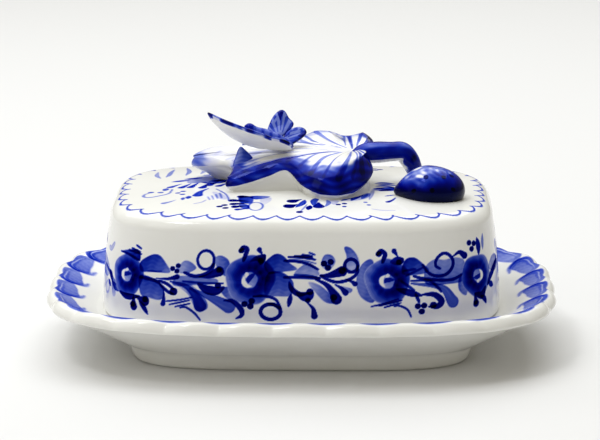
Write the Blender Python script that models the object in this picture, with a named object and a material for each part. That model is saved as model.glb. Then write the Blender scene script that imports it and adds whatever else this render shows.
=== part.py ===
"""Butter dish: a footed porcelain plate, its lift-off lid, and the relief luted on the lid.

Metres, +Z up.  The origin is on the table under the middle of the plate, with the long side
along X.  Run with: blender --background --python part.py
"""

import math

import bmesh
import bpy
import numpy as np
from mathutils import Matrix, Vector

MM = 0.001
GAP = 0.3 * MM                  # clearance kept between pieces that touch

# Plate
PLATE_LENGTH = 205.0 * MM
PLATE_DEPTH = 141.5 * MM
PLATE_HEIGHT = 26.2 * MM
PLATE_EXPONENT = 3.2            # superellipse exponent of the rim's outline
LIP_HEIGHT = 5.5 * MM           # thickness of the rounded lip
LOBE_COUNT = 28
LOBE_DEPTH = 1.4 * MM
PLATE_SEGMENTS = 4 * LOBE_COUNT
WELL_FLOOR = 19.0 * MM
WELL_CLEARANCE = 2.2 * MM       # flat floor left around the lid
WELL_ROUND = 1.8 * MM           # run of the curve between the well's floor and its slope
FLOOR_THICKNESS = 5.5 * MM
FOOT_LENGTH = 138.6 * MM
FOOT_DEPTH = 90.6 * MM
FOOT_HEIGHT = 6.7 * MM
FOOT_WALL = 5.0 * MM
FOOT_EXPONENT = 4.25
FOOT_ROUND = 1.0 * MM           # rounding of the foot's bottom edge
FOOT_FLARE = 0.6 * MM           # how far the foot has spread at its top
RECESS_ROUND = 2.0 * MM         # rounding inside the hollow foot
UNDERSIDE_INSET = 3.3 * MM      # where the underside meets the lip, in from the rim

# Lid
LID_LENGTH = 159.2 * MM
LID_DEPTH = 108.8 * MM
LID_EXPONENT = 3.7
LID_SEGMENTS = 72
LID_WALL = 4.2 * MM
LID_BOTTOM = WELL_FLOOR + GAP
LID_SHOULDER = 56.5 * MM        # height where the wall turns into the top
LID_TAPER = 3.2 * MM            # how far the wall has leaned in at the shoulder
LID_LEAN_POWER = 1.8            # the wall leans more towards its top
LID_FILLET = 6.5 * MM
LID_CROWN = 2.5 * MM            # rise of the top from its edge to its middle
LID_EDGE_TOP = LID_SHOULDER + LID_FILLET
LID_RIM_INSET = 0.6 * MM        # rounding of the lid's bottom rim, across
LID_RIM_RISE = 0.8 * MM         # and upward
LID_CEILING_INSET = 0.5 * MM    # how much smaller the ceiling is than the top

# Leaf: every vein starts at the focus, where the stem joins
LEAF_FOCUS = Vector((21.0, 2.0, 79.0)) * MM
LEAF_SEGMENTS = 72
LEAF_EDGE = 1.8 * MM            # thickness of the leaf's free edge
LEAF_PAD = 0.74                 # part of the leaf's radius that sits on the lid
# Lobe tips and the notches between them, anticlockwise: x, y and height of the edge
LEAF_EDGE_POINTS = [
    Vector(point) * MM for point in (
        (28.6, 0.5, 77.0),
        (28.8, 7.6, 79.0),
        (28.0, 13.5, 80.6),
        (25.0, 18.0, 81.8),
        (18.5, 17.8, 80.2),
        (11.5, 27.4, 81.0),
        (4.5, 28.6, 80.8),
        (-1.5, 24.6, 78.6),
        (-11.0, 27.5, 77.0),
        (-25.0, 26.0, 74.4),
        (-26.5, 19.0, 73.6),
        (-36.0, 20.5, 73.6),
        (-45.0, 16.5, 71.6),
        (-43.0, 10.5, 71.6),
        (-29.0, 2.5, 72.8),
        (-28.5, -6.0, 72.0),
        (-30.0, -13.5, 69.8),
        (-13.0, -13.8, 74.4),
        (-6.0, -14.6, 76.0),
        (0.0, -20.5, 72.4),
        (7.0, -25.4, 70.2),
        (16.0, -25.8, 69.8),
        (23.5, -20.0, 71.2),
        (28.6, -9.8, 75.0),
    )
]

# Small folded tip that stands on the leaf
TIP_POINTS = [
    Vector(point) * MM for point in (
        (-26.8, 0.9, 75.6),
        (-26.4, 1.2, 77.8),
        (-25.0, 1.8, 79.8),
        (-23.4, 1.9, 78.8),
        (-20.6, 1.6, 76.6),
    )
]
TIP_THICKNESS = 2.0 * MM

# Stem handle: centre line and radius
STEM_POINTS = (
    (Vector((31.3, 2.6, 77.4)) * MM, 4.6 * MM),
    (Vector((36.0, 4.2, 78.0)) * MM, 4.4 * MM),
    (Vector((40.6, 6.0, 77.2)) * MM, 4.2 * MM),
    (Vector((43.6, 7.6, 73.4)) * MM, 3.9 * MM),
    (Vector((45.8, 9.0, 69.0)) * MM, 3.4 * MM),
)
STEM_LANDING = Vector((47.2, 10.0, 0.0)) * MM
STEM_LANDING_RADIUS = 3.6 * MM
STEM_FOOT_RISE = 1.8 * MM       # height over which the stem comes down upright

# Ladybug, head towards -X
BUG_CENTRE = Vector((50.9, -15.0, 0.0)) * MM
BUG_HALF = Vector((14.2, 11.0, 12.2)) * MM
BUG_HEAD_TAPER = 0.55           # share of the width lost at the tip of the head
BUG_HEAD_DROP = 0.5             # share of the height lost there

# Butterfly
BODY_CENTRE = Vector((-13.2, 4.2, 82.6)) * MM
BODY_HALF = Vector((10.2, 2.4, 3.4)) * MM
BODY_PITCH = math.radians(20.0)  # head raised towards -X
WING_THICKNESS = 1.8 * MM
WINGS = {
    "butterfly_near_forewing": (
        (-37.8, -1.2, 94.2),
        (-32.3, 1.0, 88.8),
        (-25.5, 1.6, 83.9),
        (-21.5, 1.4, 81.4),
        (-15.0, 1.2, 80.8),
        (-13.4, -2.6, 82.4),
        (-14.0, -7.0, 86.0),
        (-18.6, -8.0, 88.8),
        (-26.7, -6.3, 90.6),
        (-34.0, -3.6, 93.6),
    ),
    "butterfly_near_hindwing": (
        (-11.6, -7.4, 86.0),
        (-9.0, -8.3, 86.3),
        (-6.0, -7.9, 85.8),
        (-3.6, -6.2, 83.4),
        (-4.4, -2.4, 81.0),
        (-7.0, 0.2, 79.8),
        (-10.4, 0.2, 79.8),
        (-11.2, -3.4, 82.6),
    ),
    "butterfly_far_forewing": (
        (-14.0, 8.4, 85.0),
        (-13.2, 10.8, 88.4),
        (-11.4, 13.0, 91.2),
        (-9.0, 14.6, 92.8),
        (-7.2, 14.8, 92.2),
        (-5.6, 14.2, 89.6),
        (-4.6, 12.6, 87.2),
        (-6.8, 9.6, 84.6),
        (-10.6, 7.6, 83.4),
    ),
    "butterfly_far_hindwing": (
        (-4.0, 8.0, 82.6),
        (-2.4, 10.6, 85.4),
        (0.3, 11.8, 86.0),
        (1.9, 10.4, 84.4),
        (0.4, 8.0, 82.6),
        (-2.6, 6.4, 81.4),
    ),
}

# Colours
PORCELAIN = (0.86, 0.86, 0.84)
PALE_COBALT = (0.25, 0.30, 0.68)
DEEP_COBALT = (0.02, 0.03, 0.32)
GLAZE_ROUGHNESS = 0.12


def start_empty():
    """Remove whatever the scene holds."""
    for item in list(bpy.data.objects):
        bpy.data.objects.remove(item, do_unlink=True)


def collection(name):
    """A new collection in the scene."""
    group = bpy.data.collections.new(name)
    bpy.context.scene.collection.children.link(group)
    return group


def glaze(name, colour):
    """Glossy glazed ceramic of one colour."""
    material = bpy.data.materials.new(name)
    material.use_nodes = True
    shader = material.node_tree.nodes["Principled BSDF"]
    shader.inputs["Base Color"].default_value = (*colour, 1.0)
    shader.inputs["Roughness"].default_value = GLAZE_ROUGHNESS
    shader.inputs["Metallic"].default_value = 0.0
    return material


def add_mesh(group, name, body, colour):
    """Turn a bmesh into a named, glazed object."""
    mesh = bpy.data.meshes.new(name)
    body.to_mesh(mesh)
    body.free()
    mesh.shade_smooth()
    mesh.set_sharp_from_angle(angle=math.radians(50.0))
    item = bpy.data.objects.new(name, mesh)
    item.data.materials.append(glaze(name + "_glaze", colour))
    group.objects.link(item)
    return item


def outline(half_x, half_y, exponent, count):
    """Points of a superellipse, evenly spaced along it, anticlockwise from +X."""
    angle = np.linspace(0.0, 2.0 * math.pi, 64 * count + 1)
    cosine = np.cos(angle)
    sine = np.sin(angle)
    x = half_x * np.sign(cosine) * np.abs(cosine) ** (2.0 / exponent)
    y = half_y * np.sign(sine) * np.abs(sine) ** (2.0 / exponent)
    travelled = np.concatenate(([0.0], np.cumsum(np.hypot(np.diff(x), np.diff(y)))))
    places = np.linspace(0.0, travelled[-1], count, endpoint=False)
    return np.interp(places, travelled, x), np.interp(places, travelled, y)


def lobed(x, y, depth):
    """Pull an outline in between its lobes, to the given depth at each cusp."""
    along = np.arange(len(x)) / len(x)
    bulge = np.abs(np.cos(math.pi * LOBE_COUNT * along))
    shrink = 1.0 - depth * (1.0 - bulge) / np.hypot(x, y)
    return x * shrink, y * shrink


def ring(half_x, half_y, exponent, height, count, lobe_depth=0.0):
    """One level ring of points for a loft."""
    x, y = outline(half_x, half_y, exponent, count)
    if lobe_depth > 0.0:
        x, y = lobed(x, y, lobe_depth)
    return [Vector((px, py, height)) for px, py in zip(x, y)]


def loft(first, rings, last):
    """Closed body through rings of equal count, with a point closing each end."""
    body = bmesh.new()
    loops = [[body.verts.new(point) for point in points] for points in rings]
    start = body.verts.new(first)
    end = body.verts.new(last)
    count = len(loops[0])
    for index in range(count):
        after = (index + 1) % count
        body.faces.new((start, loops[0][after], loops[0][index]))
        body.faces.new((end, loops[-1][index], loops[-1][after]))
        for inner, outer in zip(loops, loops[1:]):
            body.faces.new((inner[index], inner[after], outer[after], outer[index]))
    bmesh.ops.triangulate(body, faces=body.faces[:])
    bmesh.ops.recalc_face_normals(body, faces=body.faces[:])
    return body


def make_plate(group):
    """Footed plate: hollow foot ring, swelling underside, scalloped lip and flat well."""
    rim_x = PLATE_LENGTH / 2.0
    rim_y = PLATE_DEPTH / 2.0
    foot_x = FOOT_LENGTH / 2.0
    foot_y = FOOT_DEPTH / 2.0
    well_x = LID_LENGTH / 2.0 + WELL_CLEARANCE
    well_y = LID_DEPTH / 2.0 + WELL_CLEARANCE
    lip_bottom = PLATE_HEIGHT - LIP_HEIGHT
    recess_roof = WELL_FLOOR - FLOOR_THICKNESS

    def foot(outset, height):
        return ring(foot_x + outset, foot_y + outset, FOOT_EXPONENT, height, PLATE_SEGMENTS)

    def under(share, rise):
        """Ring part of the way out, and up, from the foot's top to the lip's bottom."""
        half_x = foot_x + share * (rim_x - UNDERSIDE_INSET - foot_x)
        half_y = foot_y + share * (rim_y - UNDERSIDE_INSET - foot_y)
        exponent = FOOT_EXPONENT + share * (PLATE_EXPONENT - FOOT_EXPONENT)
        height = FOOT_HEIGHT + rise * (lip_bottom - FOOT_HEIGHT)
        return ring(half_x, half_y, exponent, height, PLATE_SEGMENTS)

    def rim(inset, height, lobe_depth):
        half_x = rim_x - inset
        half_y = rim_y - inset
        return ring(half_x, half_y, PLATE_EXPONENT, height, PLATE_SEGMENTS, lobe_depth)

    def well(outset, height):
        return ring(well_x + outset, well_y + outset, LID_EXPONENT, height, PLATE_SEGMENTS)

    rings = [
        foot(-FOOT_WALL - RECESS_ROUND, recess_roof),
        foot(-FOOT_WALL, recess_roof - RECESS_ROUND),
        foot(-FOOT_WALL, 0.0),
        foot(-FOOT_ROUND, 0.0),
        foot(0.0, FOOT_ROUND),
        foot(FOOT_FLARE, FOOT_HEIGHT - FOOT_ROUND),
        under(0.08, 0.06),
        under(0.4, 0.32),
        under(0.75, 0.66),
        under(1.0, 1.0),
        rim(0.16 * LIP_HEIGHT, lip_bottom + 0.09 * LIP_HEIGHT, LOBE_DEPTH),
        rim(0.0, lip_bottom + 0.44 * LIP_HEIGHT, LOBE_DEPTH),
        rim(0.13 * LIP_HEIGHT, PLATE_HEIGHT - 0.16 * LIP_HEIGHT, LOBE_DEPTH),
        rim(0.44 * LIP_HEIGHT, PLATE_HEIGHT, LOBE_DEPTH),
        rim(0.9 * LIP_HEIGHT, PLATE_HEIGHT - 0.13 * LIP_HEIGHT, 0.5 * LOBE_DEPTH),
        well(WELL_ROUND, WELL_FLOOR + WELL_ROUND / 3.0),
        well(0.0, WELL_FLOOR),
    ]
    body = loft(Vector((0.0, 0.0, recess_roof)), rings, Vector((0.0, 0.0, WELL_FLOOR)))
    return add_mesh(group, "plate", body, PORCELAIN)


def wall_inset(height):
    """How far the lid's wall has leaned in at a height, up to the shoulder."""
    share = (height - LID_BOTTOM) / (LID_SHOULDER - LID_BOTTOM)
    return LID_TAPER * share ** LID_LEAN_POWER


def lid_ring(inset, height):
    """Ring inside the lid's bottom edge by an inset."""
    half_x = LID_LENGTH / 2.0 - inset
    half_y = LID_DEPTH / 2.0 - inset
    return ring(half_x, half_y, LID_EXPONENT, height, LID_SEGMENTS)


def lid_top(x, y):
    """Height of the lid's crowned top above a point."""
    inset = LID_TAPER + LID_FILLET
    across = abs(x) / (LID_LENGTH / 2.0 - inset)
    deep = abs(y) / (LID_DEPTH / 2.0 - inset)
    share = (across ** LID_EXPONENT + deep ** LID_EXPONENT) ** (1.0 / LID_EXPONENT)
    return LID_EDGE_TOP + LID_CROWN * (1.0 - min(share, 1.0) ** 2)


def crown_rings(drop, extra_inset):
    """Rings of the crowned top, from its edge to near its middle."""
    inset = LID_TAPER + LID_FILLET + extra_inset
    half_x = LID_LENGTH / 2.0 - inset
    half_y = LID_DEPTH / 2.0 - inset
    rings = []
    for share in (1.0, 0.75, 0.5, 0.25):
        height = LID_EDGE_TOP + LID_CROWN * (1.0 - share ** 2) - drop
        rings.append(ring(half_x * share, half_y * share, LID_EXPONENT, height, LID_SEGMENTS))
    return rings


def make_lid_shell(group):
    """Hollow lid, open at the bottom, with a rounded shoulder and a crowned top."""
    wall_heights = [LID_BOTTOM + share * (LID_SHOULDER - LID_BOTTOM) for share in (0.35, 0.7, 1.0)]
    outer = [lid_ring(LID_RIM_INSET, LID_BOTTOM), lid_ring(0.0, LID_BOTTOM + LID_RIM_RISE)]
    outer += [lid_ring(wall_inset(height), height) for height in wall_heights]
    for degrees in (30.0, 60.0):
        turn = math.radians(degrees)
        inset = LID_TAPER + LID_FILLET * (1.0 - math.cos(turn))
        outer.append(lid_ring(inset, LID_SHOULDER + LID_FILLET * math.sin(turn)))
    outer += crown_rings(0.0, 0.0)

    inner = crown_rings(LID_WALL, LID_CEILING_INSET)[::-1]
    inner += [lid_ring(wall_inset(height) + LID_WALL, height) for height in wall_heights[::-1]]
    inner.append(lid_ring(LID_WALL, LID_BOTTOM + LID_RIM_RISE))
    inner.append(lid_ring(LID_WALL - LID_RIM_INSET, LID_BOTTOM))

    peak = LID_EDGE_TOP + LID_CROWN
    body = loft(Vector((0.0, 0.0, peak - LID_WALL)), inner + outer, Vector((0.0, 0.0, peak)))
    return add_mesh(group, "lid_shell", body, PORCELAIN)


def leaf_reach(angle):
    """Radius and height of the leaf's edge in one direction from its focus."""
    spokes = []
    for point in LEAF_EDGE_POINTS:
        arm = point - LEAF_FOCUS
        bearing = math.atan2(arm.y, arm.x) % (2.0 * math.pi)
        spokes.append((bearing, math.hypot(arm.x, arm.y), point.z))
    spokes.sort()
    turn = angle % (2.0 * math.pi)
    if turn < spokes[0][0]:
        turn += 2.0 * math.pi
    first = spokes[0]
    spokes.append((first[0] + 2.0 * math.pi, first[1], first[2]))
    for before, after in zip(spokes, spokes[1:]):
        if before[0] <= turn <= after[0]:
            share = (turn - before[0]) / (after[0] - before[0])
            blend = share * share * (3.0 - 2.0 * share)
            radius = before[1] + blend * (after[1] - before[1])
            height = before[2] + blend * (after[2] - before[2])
            return radius, height
    return first[1], first[2]


def make_leaf(group):
    """Lobed leaf that sits on a pad and lifts its edges clear of the lid."""
    directions = [2.0 * math.pi * index / LEAF_SEGMENTS for index in range(LEAF_SEGMENTS)]

    def leaf_ring(share, height_of):
        points = []
        for angle in directions:
            radius, edge = leaf_reach(angle)
            x = LEAF_FOCUS.x + share * radius * math.cos(angle)
            y = LEAF_FOCUS.y + share * radius * math.sin(angle)
            points.append(Vector((x, y, height_of(x, y, edge))))
        return points

    def on_lid(x, y, edge):
        return lid_top(x, y) + GAP

    def surface(share):
        return lambda x, y, edge: LEAF_FOCUS.z + (edge - LEAF_FOCUS.z) * share ** 2

    rings = [
        leaf_ring(0.4, on_lid),
        leaf_ring(LEAF_PAD, on_lid),
        leaf_ring(0.97, lambda x, y, edge: edge - LEAF_EDGE),
        leaf_ring(1.0, lambda x, y, edge: edge - 0.4 * LEAF_EDGE),
        leaf_ring(0.96, surface(0.96)),
        leaf_ring(0.75, surface(0.75)),
        leaf_ring(0.5, surface(0.5)),
        leaf_ring(0.25, surface(0.25)),
    ]
    underneath = Vector((LEAF_FOCUS.x, LEAF_FOCUS.y, lid_top(LEAF_FOCUS.x, LEAF_FOCUS.y) + GAP))
    body = loft(underneath, rings, LEAF_FOCUS)
    return add_mesh(group, "leaf", body, PALE_COBALT)


def make_panel(group, name, points, thickness, colour):
    """Thin flat panel with a smooth outline through points that lie near one plane."""
    corners = [Vector(point) for point in points]
    middle = sum(corners, Vector()) / len(corners)
    across = (corners[1] - middle).normalized()
    normal = sum(
        ((a - middle).cross(b - middle) for a, b in zip(corners, corners[1:] + corners[:1])),
        Vector(),
    ).normalized()
    across = (across - across.dot(normal) * normal).normalized()
    upward = normal.cross(across)
    curve = bpy.data.curves.new(name, "CURVE")
    curve.dimensions = "2D"
    curve.fill_mode = "BOTH"
    curve.extrude = thickness / 2.0
    curve.resolution_u = 5
    spline = curve.splines.new("BEZIER")
    spline.bezier_points.add(len(corners) - 1)
    spline.use_cyclic_u = True
    for knot, corner in zip(spline.bezier_points, corners):
        arm = corner - middle
        knot.co = (arm.dot(across), arm.dot(upward), 0.0)
        knot.handle_left_type = "AUTO"
        knot.handle_right_type = "AUTO"
    curve.materials.append(glaze(name + "_glaze", colour))
    item = bpy.data.objects.new(name, curve)
    turn = Matrix((across, upward, normal)).transposed()
    item.matrix_world = Matrix.Translation(middle) @ turn.to_4x4()
    group.objects.link(item)
    return item


def make_stem_handle(group):
    """Arched twig from the leaf's focus down to the lid's top."""
    landing = STEM_LANDING.copy()
    landing.z = lid_top(landing.x, landing.y) + GAP
    stops = [*STEM_POINTS, (landing, STEM_LANDING_RADIUS)]
    thickest = max(radius for _, radius in stops)
    curve = bpy.data.curves.new("stem_handle", "CURVE")
    curve.dimensions = "3D"
    curve.bevel_depth = thickest
    curve.bevel_resolution = 3
    curve.resolution_u = 4
    curve.use_fill_caps = True
    spline = curve.splines.new("BEZIER")
    spline.bezier_points.add(len(stops) - 1)
    for knot, (point, radius) in zip(spline.bezier_points, stops):
        knot.co = point
        knot.radius = radius / thickest
        knot.handle_left_type = "AUTO"
        knot.handle_right_type = "AUTO"
    last = spline.bezier_points[-1]
    last.handle_left_type = "FREE"
    last.handle_left = landing + Vector((0.0, 0.0, STEM_FOOT_RISE))
    curve.materials.append(glaze("stem_handle_glaze", DEEP_COBALT))
    item = bpy.data.objects.new("stem_handle", curve)
    group.objects.link(item)
    return item


def make_ladybug(group):
    """Domed ladybug that narrows to its head and sits flush on the crowned lid."""
    body = bmesh.new()
    bmesh.ops.create_uvsphere(body, u_segments=28, v_segments=14, radius=1.0)
    bmesh.ops.bisect_plane(
        body,
        geom=body.verts[:] + body.edges[:] + body.faces[:],
        plane_co=(0.0, 0.0, 0.0),
        plane_no=(0.0, 0.0, -1.0),
        clear_outer=True,
        dist=1e-4,
    )
    rim = [edge for edge in body.edges if edge.is_boundary]
    bmesh.ops.contextual_create(body, geom=rim)
    for vertex in body.verts:
        across, deep, high = vertex.co
        if across < 0.0:
            deep *= 1.0 - BUG_HEAD_TAPER * across ** 2
            high *= 1.0 - BUG_HEAD_DROP * across ** 2
        x = BUG_CENTRE.x + BUG_HALF.x * across
        y = BUG_CENTRE.y + BUG_HALF.y * deep
        foot = lid_top(x, y) + GAP
        vertex.co = (x, y, foot + BUG_HALF.z * high)
    bmesh.ops.triangulate(body, faces=body.faces[:])
    bmesh.ops.recalc_face_normals(body, faces=body.faces[:])
    return add_mesh(group, "ladybug", body, DEEP_COBALT)


def make_butterfly_body(group):
    """Plump keel that carries the four wings."""
    body = bmesh.new()
    bmesh.ops.create_uvsphere(body, u_segments=20, v_segments=12, radius=1.0)
    bmesh.ops.scale(body, vec=BODY_HALF, verts=body.verts[:])
    pitch = Matrix.Rotation(BODY_PITCH, 3, "Y")
    bmesh.ops.rotate(body, matrix=pitch, verts=body.verts[:])
    bmesh.ops.translate(body, vec=BODY_CENTRE, verts=body.verts[:])
    return add_mesh(group, "butterfly_body", body, PALE_COBALT)


def make_butterfly(group):
    """Body and four raised wings."""
    make_butterfly_body(group)
    for name, points in WINGS.items():
        corners = [Vector(point) * MM for point in points]
        make_panel(group, name, corners, WING_THICKNESS, PALE_COBALT)


def main():
    start_empty()
    group = collection("butter_dish")
    make_plate(group)
    make_lid_shell(group)
    make_leaf(group)
    make_panel(group, "leaf_tip", TIP_POINTS, TIP_THICKNESS, PALE_COBALT)
    make_stem_handle(group)
    make_ladybug(group)
    make_butterfly(group)


main()
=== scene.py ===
"""Looks of the butter dish: glazed porcelain with hand-painted cobalt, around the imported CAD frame.

Shapes are worked out in millimetres and scaled to metres when a mesh is made.  The cobalt is a
point attribute: the optical thickness of the paint, laid stroke by stroke on the flattened
surface, and turned into colour by the glaze material.
"""
import math

import bpy
import numpy as np
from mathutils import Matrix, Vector


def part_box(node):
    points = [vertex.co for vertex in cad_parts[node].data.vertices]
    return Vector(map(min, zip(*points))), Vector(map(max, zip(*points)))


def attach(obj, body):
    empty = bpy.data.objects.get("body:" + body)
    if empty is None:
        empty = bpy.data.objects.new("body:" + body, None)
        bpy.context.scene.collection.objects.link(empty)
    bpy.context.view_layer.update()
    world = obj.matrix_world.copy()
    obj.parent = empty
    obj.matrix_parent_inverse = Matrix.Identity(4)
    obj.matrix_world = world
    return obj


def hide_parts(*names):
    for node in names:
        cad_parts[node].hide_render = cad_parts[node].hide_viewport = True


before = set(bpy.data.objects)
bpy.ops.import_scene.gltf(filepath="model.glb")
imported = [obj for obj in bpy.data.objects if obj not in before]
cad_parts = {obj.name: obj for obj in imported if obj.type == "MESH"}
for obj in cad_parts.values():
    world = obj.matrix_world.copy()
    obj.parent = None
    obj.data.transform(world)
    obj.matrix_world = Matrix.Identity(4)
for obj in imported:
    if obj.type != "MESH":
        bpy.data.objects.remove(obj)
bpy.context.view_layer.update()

MM = 0.001
TONE_RANGE = 3.0                # optical thickness at the dark end of the colour ramp


def node_box(name):
    """Lowest and highest corner of a CAD node, in millimetres."""
    low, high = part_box(name)
    return np.array(low) / MM, np.array(high) / MM


_, PLATE_HIGH = node_box("plate")
LID_LOW, LID_HIGH = node_box("lid_shell")
BUG_LOW, BUG_HIGH = node_box("ladybug")

# Lid
LID_X, LID_Y, LID_PEAK = LID_HIGH
LID_BOTTOM = LID_LOW[2]
LID_EXPONENT = 3.7              # squareness of the outline; 2 is an ellipse
LID_COLUMNS = 1344
LID_WALL = 4.2
LID_TAPER = 3.2                 # how far the wall leans in by the shoulder
LID_FILLET = 6.5
LID_CROWN = 2.5
LID_EDGE_TOP = LID_PEAK - LID_CROWN
LID_SHOULDER = LID_EDGE_TOP - LID_FILLET
CROWN_INSET = LID_TAPER + LID_FILLET
WALL_PAINT_TOP = LID_SHOULDER + 1.0
TOP_PAINT_EDGE = LID_SHOULDER + 0.8 * LID_FILLET
# Bevelled foot of the lid's wall: inset and height above its bottom
LID_SEAT = ((LID_WALL - 1.2, 0.0), (1.1, 0.0), (0.5, 0.15), (0.15, 0.5))
WALL_ROW = 0.35                 # spacing of the rings up the wall
FILLET_ROWS = 26                # rings round the shoulder
CROWN_ROW = 0.0068              # spacing of the rings over the top, as a share of its size

# Plate
RIM_X, RIM_Y, RIM_TOP = PLATE_HIGH
RIM_EXPONENT = 3.2
LOBES = 28
LOBE_DEPTH = 1.9
LOBE_DIP = 0.35                 # drop of the lip between lobes, as a share of its pull inward
LOBE_SOFTNESS = 0.1             # rounds the notch between lobes
PLATE_COLUMNS = 1440
LIP_HEIGHT = 5.5
LIP_BOTTOM = RIM_TOP - LIP_HEIGHT
LIP_INSET = 3.3                 # from the rim's edge back to the belly under the lip
FOOT_X = 69.3
FOOT_Y = 45.3
FOOT_TOP = 6.7
FOOT_EXPONENT = 4.25
FOOT_RING = 5.0                 # thickness of the foot ring
RECESS_FILLET = 2.0
RECESS_ROOF = 13.5
SEAT_GAP = 0.3                  # the lid stands this far above the well's floor in the CAD
WELL_FLOOR = LID_BOTTOM - SEAT_GAP
WELL_MARGIN = 2.2               # flat floor that shows around the lid


# ---------------------------------------------------------------- mesh helpers

def outline(half_x, half_y, exponent, count):
    """Superellipse, evenly spaced, anticlockwise from the middle of the front."""
    angle = np.linspace(-0.5 * math.pi, 1.5 * math.pi, 40 * count + 1)
    cosine = np.cos(angle)
    sine = np.sin(angle)
    x = half_x * np.sign(cosine) * np.abs(cosine) ** (2.0 / exponent)
    y = half_y * np.sign(sine) * np.abs(sine) ** (2.0 / exponent)
    travelled = np.concatenate(([0.0], np.cumsum(np.hypot(np.diff(x), np.diff(y)))))
    places = np.linspace(0.0, travelled[-1], count, endpoint=False)
    return np.stack([np.interp(places, travelled, x), np.interp(places, travelled, y)], 1)


def flat_ring(shape, height):
    """Points of a plan outline at one height."""
    return np.column_stack([shape, np.full(len(shape), height)])


def smooth_path(points, steps=8, closed=False):
    """Catmull-Rom curve through points of any dimension, with a few steps from each to the next."""
    knots = np.array(points, float)
    if closed:
        knots = np.concatenate([knots[-1:], knots, knots[:2]])
    else:
        before = 2.0 * knots[0] - knots[1]
        after = 2.0 * knots[-1] - knots[-2]
        knots = np.concatenate([[before], knots, [after]])
    share = (np.arange(steps) / steps)[:, None]
    pieces = []
    for a, b, c, d in zip(knots, knots[1:], knots[2:], knots[3:]):
        pieces.append(0.5 * (
            2.0 * b
            + (c - a) * share
            + (2.0 * a - 5.0 * b + 4.0 * c - d) * share ** 2
            + (3.0 * b - a - 3.0 * c + d) * share ** 3
        ))
    if not closed:
        pieces.append(knots[-2:-1])
    return np.concatenate(pieces)


def even_loop(points, count):
    """Closed smooth curve through points, resampled to even spacing in its first two axes."""
    curve = smooth_path(points, 24, True)
    curve = np.concatenate([curve, curve[:1]])
    travelled = np.concatenate(([0.0], np.cumsum(np.hypot(*np.diff(curve[:, :2], axis=0).T))))
    places = np.linspace(0.0, travelled[-1], count, endpoint=False)
    return np.stack([np.interp(places, travelled, column) for column in curve.T], 1)


def skin(name, first, rings, last):
    """Closed mesh through rings, where each has as many points as the one before, half or twice."""
    starts = np.cumsum([0] + [len(ring) for ring in rings])
    points = np.concatenate([*rings, [first], [last]])
    quads = []
    triangles = []
    for low, high, a, b in zip(rings, rings[1:], starts, starts[1:]):
        fewer = min(len(low), len(high))
        i = np.arange(fewer)
        j = (i + 1) % fewer
        if len(low) == len(high):
            quads.append(np.stack([a + i, a + j, b + j, b + i], 1))
        elif len(low) > len(high):
            triangles.append(np.stack([a + 2 * i, a + 2 * i + 1, b + i], 1))
            quads.append(np.stack([a + 2 * i + 1, a + 2 * j, b + j, b + i], 1))
        else:
            triangles.append(np.stack([a + i, b + 2 * i + 1, b + 2 * i], 1))
            quads.append(np.stack([a + i, a + j, b + 2 * j, b + 2 * i + 1], 1))
    for centre, ring, start, turn in (
        (len(points) - 2, rings[0], 0, -1),
        (len(points) - 1, rings[-1], starts[-2], 1),
    ):
        i = np.arange(len(ring))
        j = (i + 1) % len(ring)
        triangles.append(np.stack([np.full(len(ring), centre), start + i, start + j][::turn], 1))
    return mesh_from(name, points, np.concatenate(quads), np.concatenate(triangles))


def mesh_from(name, points, quads, triangles):
    """Mesh object in metres from points in millimetres, with its faces outward."""
    corners = points[triangles]
    halves = points[quads]
    volume = np.einsum("ij,ij->", corners[:, 0], np.cross(corners[:, 1], corners[:, 2]))
    volume += np.einsum("ij,ij->", halves[:, 0], np.cross(halves[:, 1], halves[:, 2]))
    volume += np.einsum("ij,ij->", halves[:, 0], np.cross(halves[:, 2], halves[:, 3]))
    if volume < 0.0:
        quads = quads[:, ::-1]
        triangles = triangles[:, ::-1]
    loops = np.concatenate([quads.ravel(), triangles.ravel()])
    loop_starts = np.concatenate([
        4 * np.arange(len(quads)),
        4 * len(quads) + 3 * np.arange(len(triangles)),
    ])
    mesh = bpy.data.meshes.new(name)
    mesh.vertices.add(len(points))
    mesh.vertices.foreach_set("co", (points * MM).ravel())
    mesh.loops.add(len(loops))
    mesh.loops.foreach_set("vertex_index", loops.astype(np.int32))
    mesh.polygons.add(len(loop_starts))
    mesh.polygons.foreach_set("loop_start", loop_starts.astype(np.int32))
    mesh.update(calc_edges=True)
    mesh.validate()
    mesh.shade_smooth()
    item = bpy.data.objects.new(name, mesh)
    bpy.context.scene.collection.objects.link(item)
    return item


def points_of(item):
    """Vertices of a mesh object, in millimetres."""
    flat = np.empty(3 * len(item.data.vertices))
    item.data.vertices.foreach_get("co", flat)
    return flat.reshape(-1, 3) / MM


def normals_of(item):
    """Vertex normals of a mesh object."""
    flat = np.empty(3 * len(item.data.vertices), np.float32)
    item.data.vertices.foreach_get("normal", flat)
    return flat.reshape(-1, 3)


def wear(item, tone, material, body, slot, *nodes):
    """Give a piece its paint, glaze and body, and let it stand for its CAD nodes."""
    layer = item.data.attributes.new("cobalt", "FLOAT", "POINT")
    share = np.clip(tone, 0.0, TONE_RANGE) / TONE_RANGE
    layer.data.foreach_set("value", share.astype(np.float32))
    item.data.materials.append(material)
    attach(item, body)
    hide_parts(*nodes)


# ---------------------------------------------------------------- paint

def step_between(low, high, value):
    """Smooth step from 0 at low to 1 at high."""
    share = np.clip((value - low) / (high - low), 0.0, 1.0)
    return share * share * (3.0 - 2.0 * share)


def grain(x, y):
    """Smooth irregular pattern between -1 and 1."""
    wave = np.sin(1.9 * x + 1.3 * np.sin(0.7 * y))
    ripple = np.sin(4.3 * y + 2.1 * np.sin(1.1 * x + 0.5))
    return 0.5 * wave + 0.5 * ripple


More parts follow.
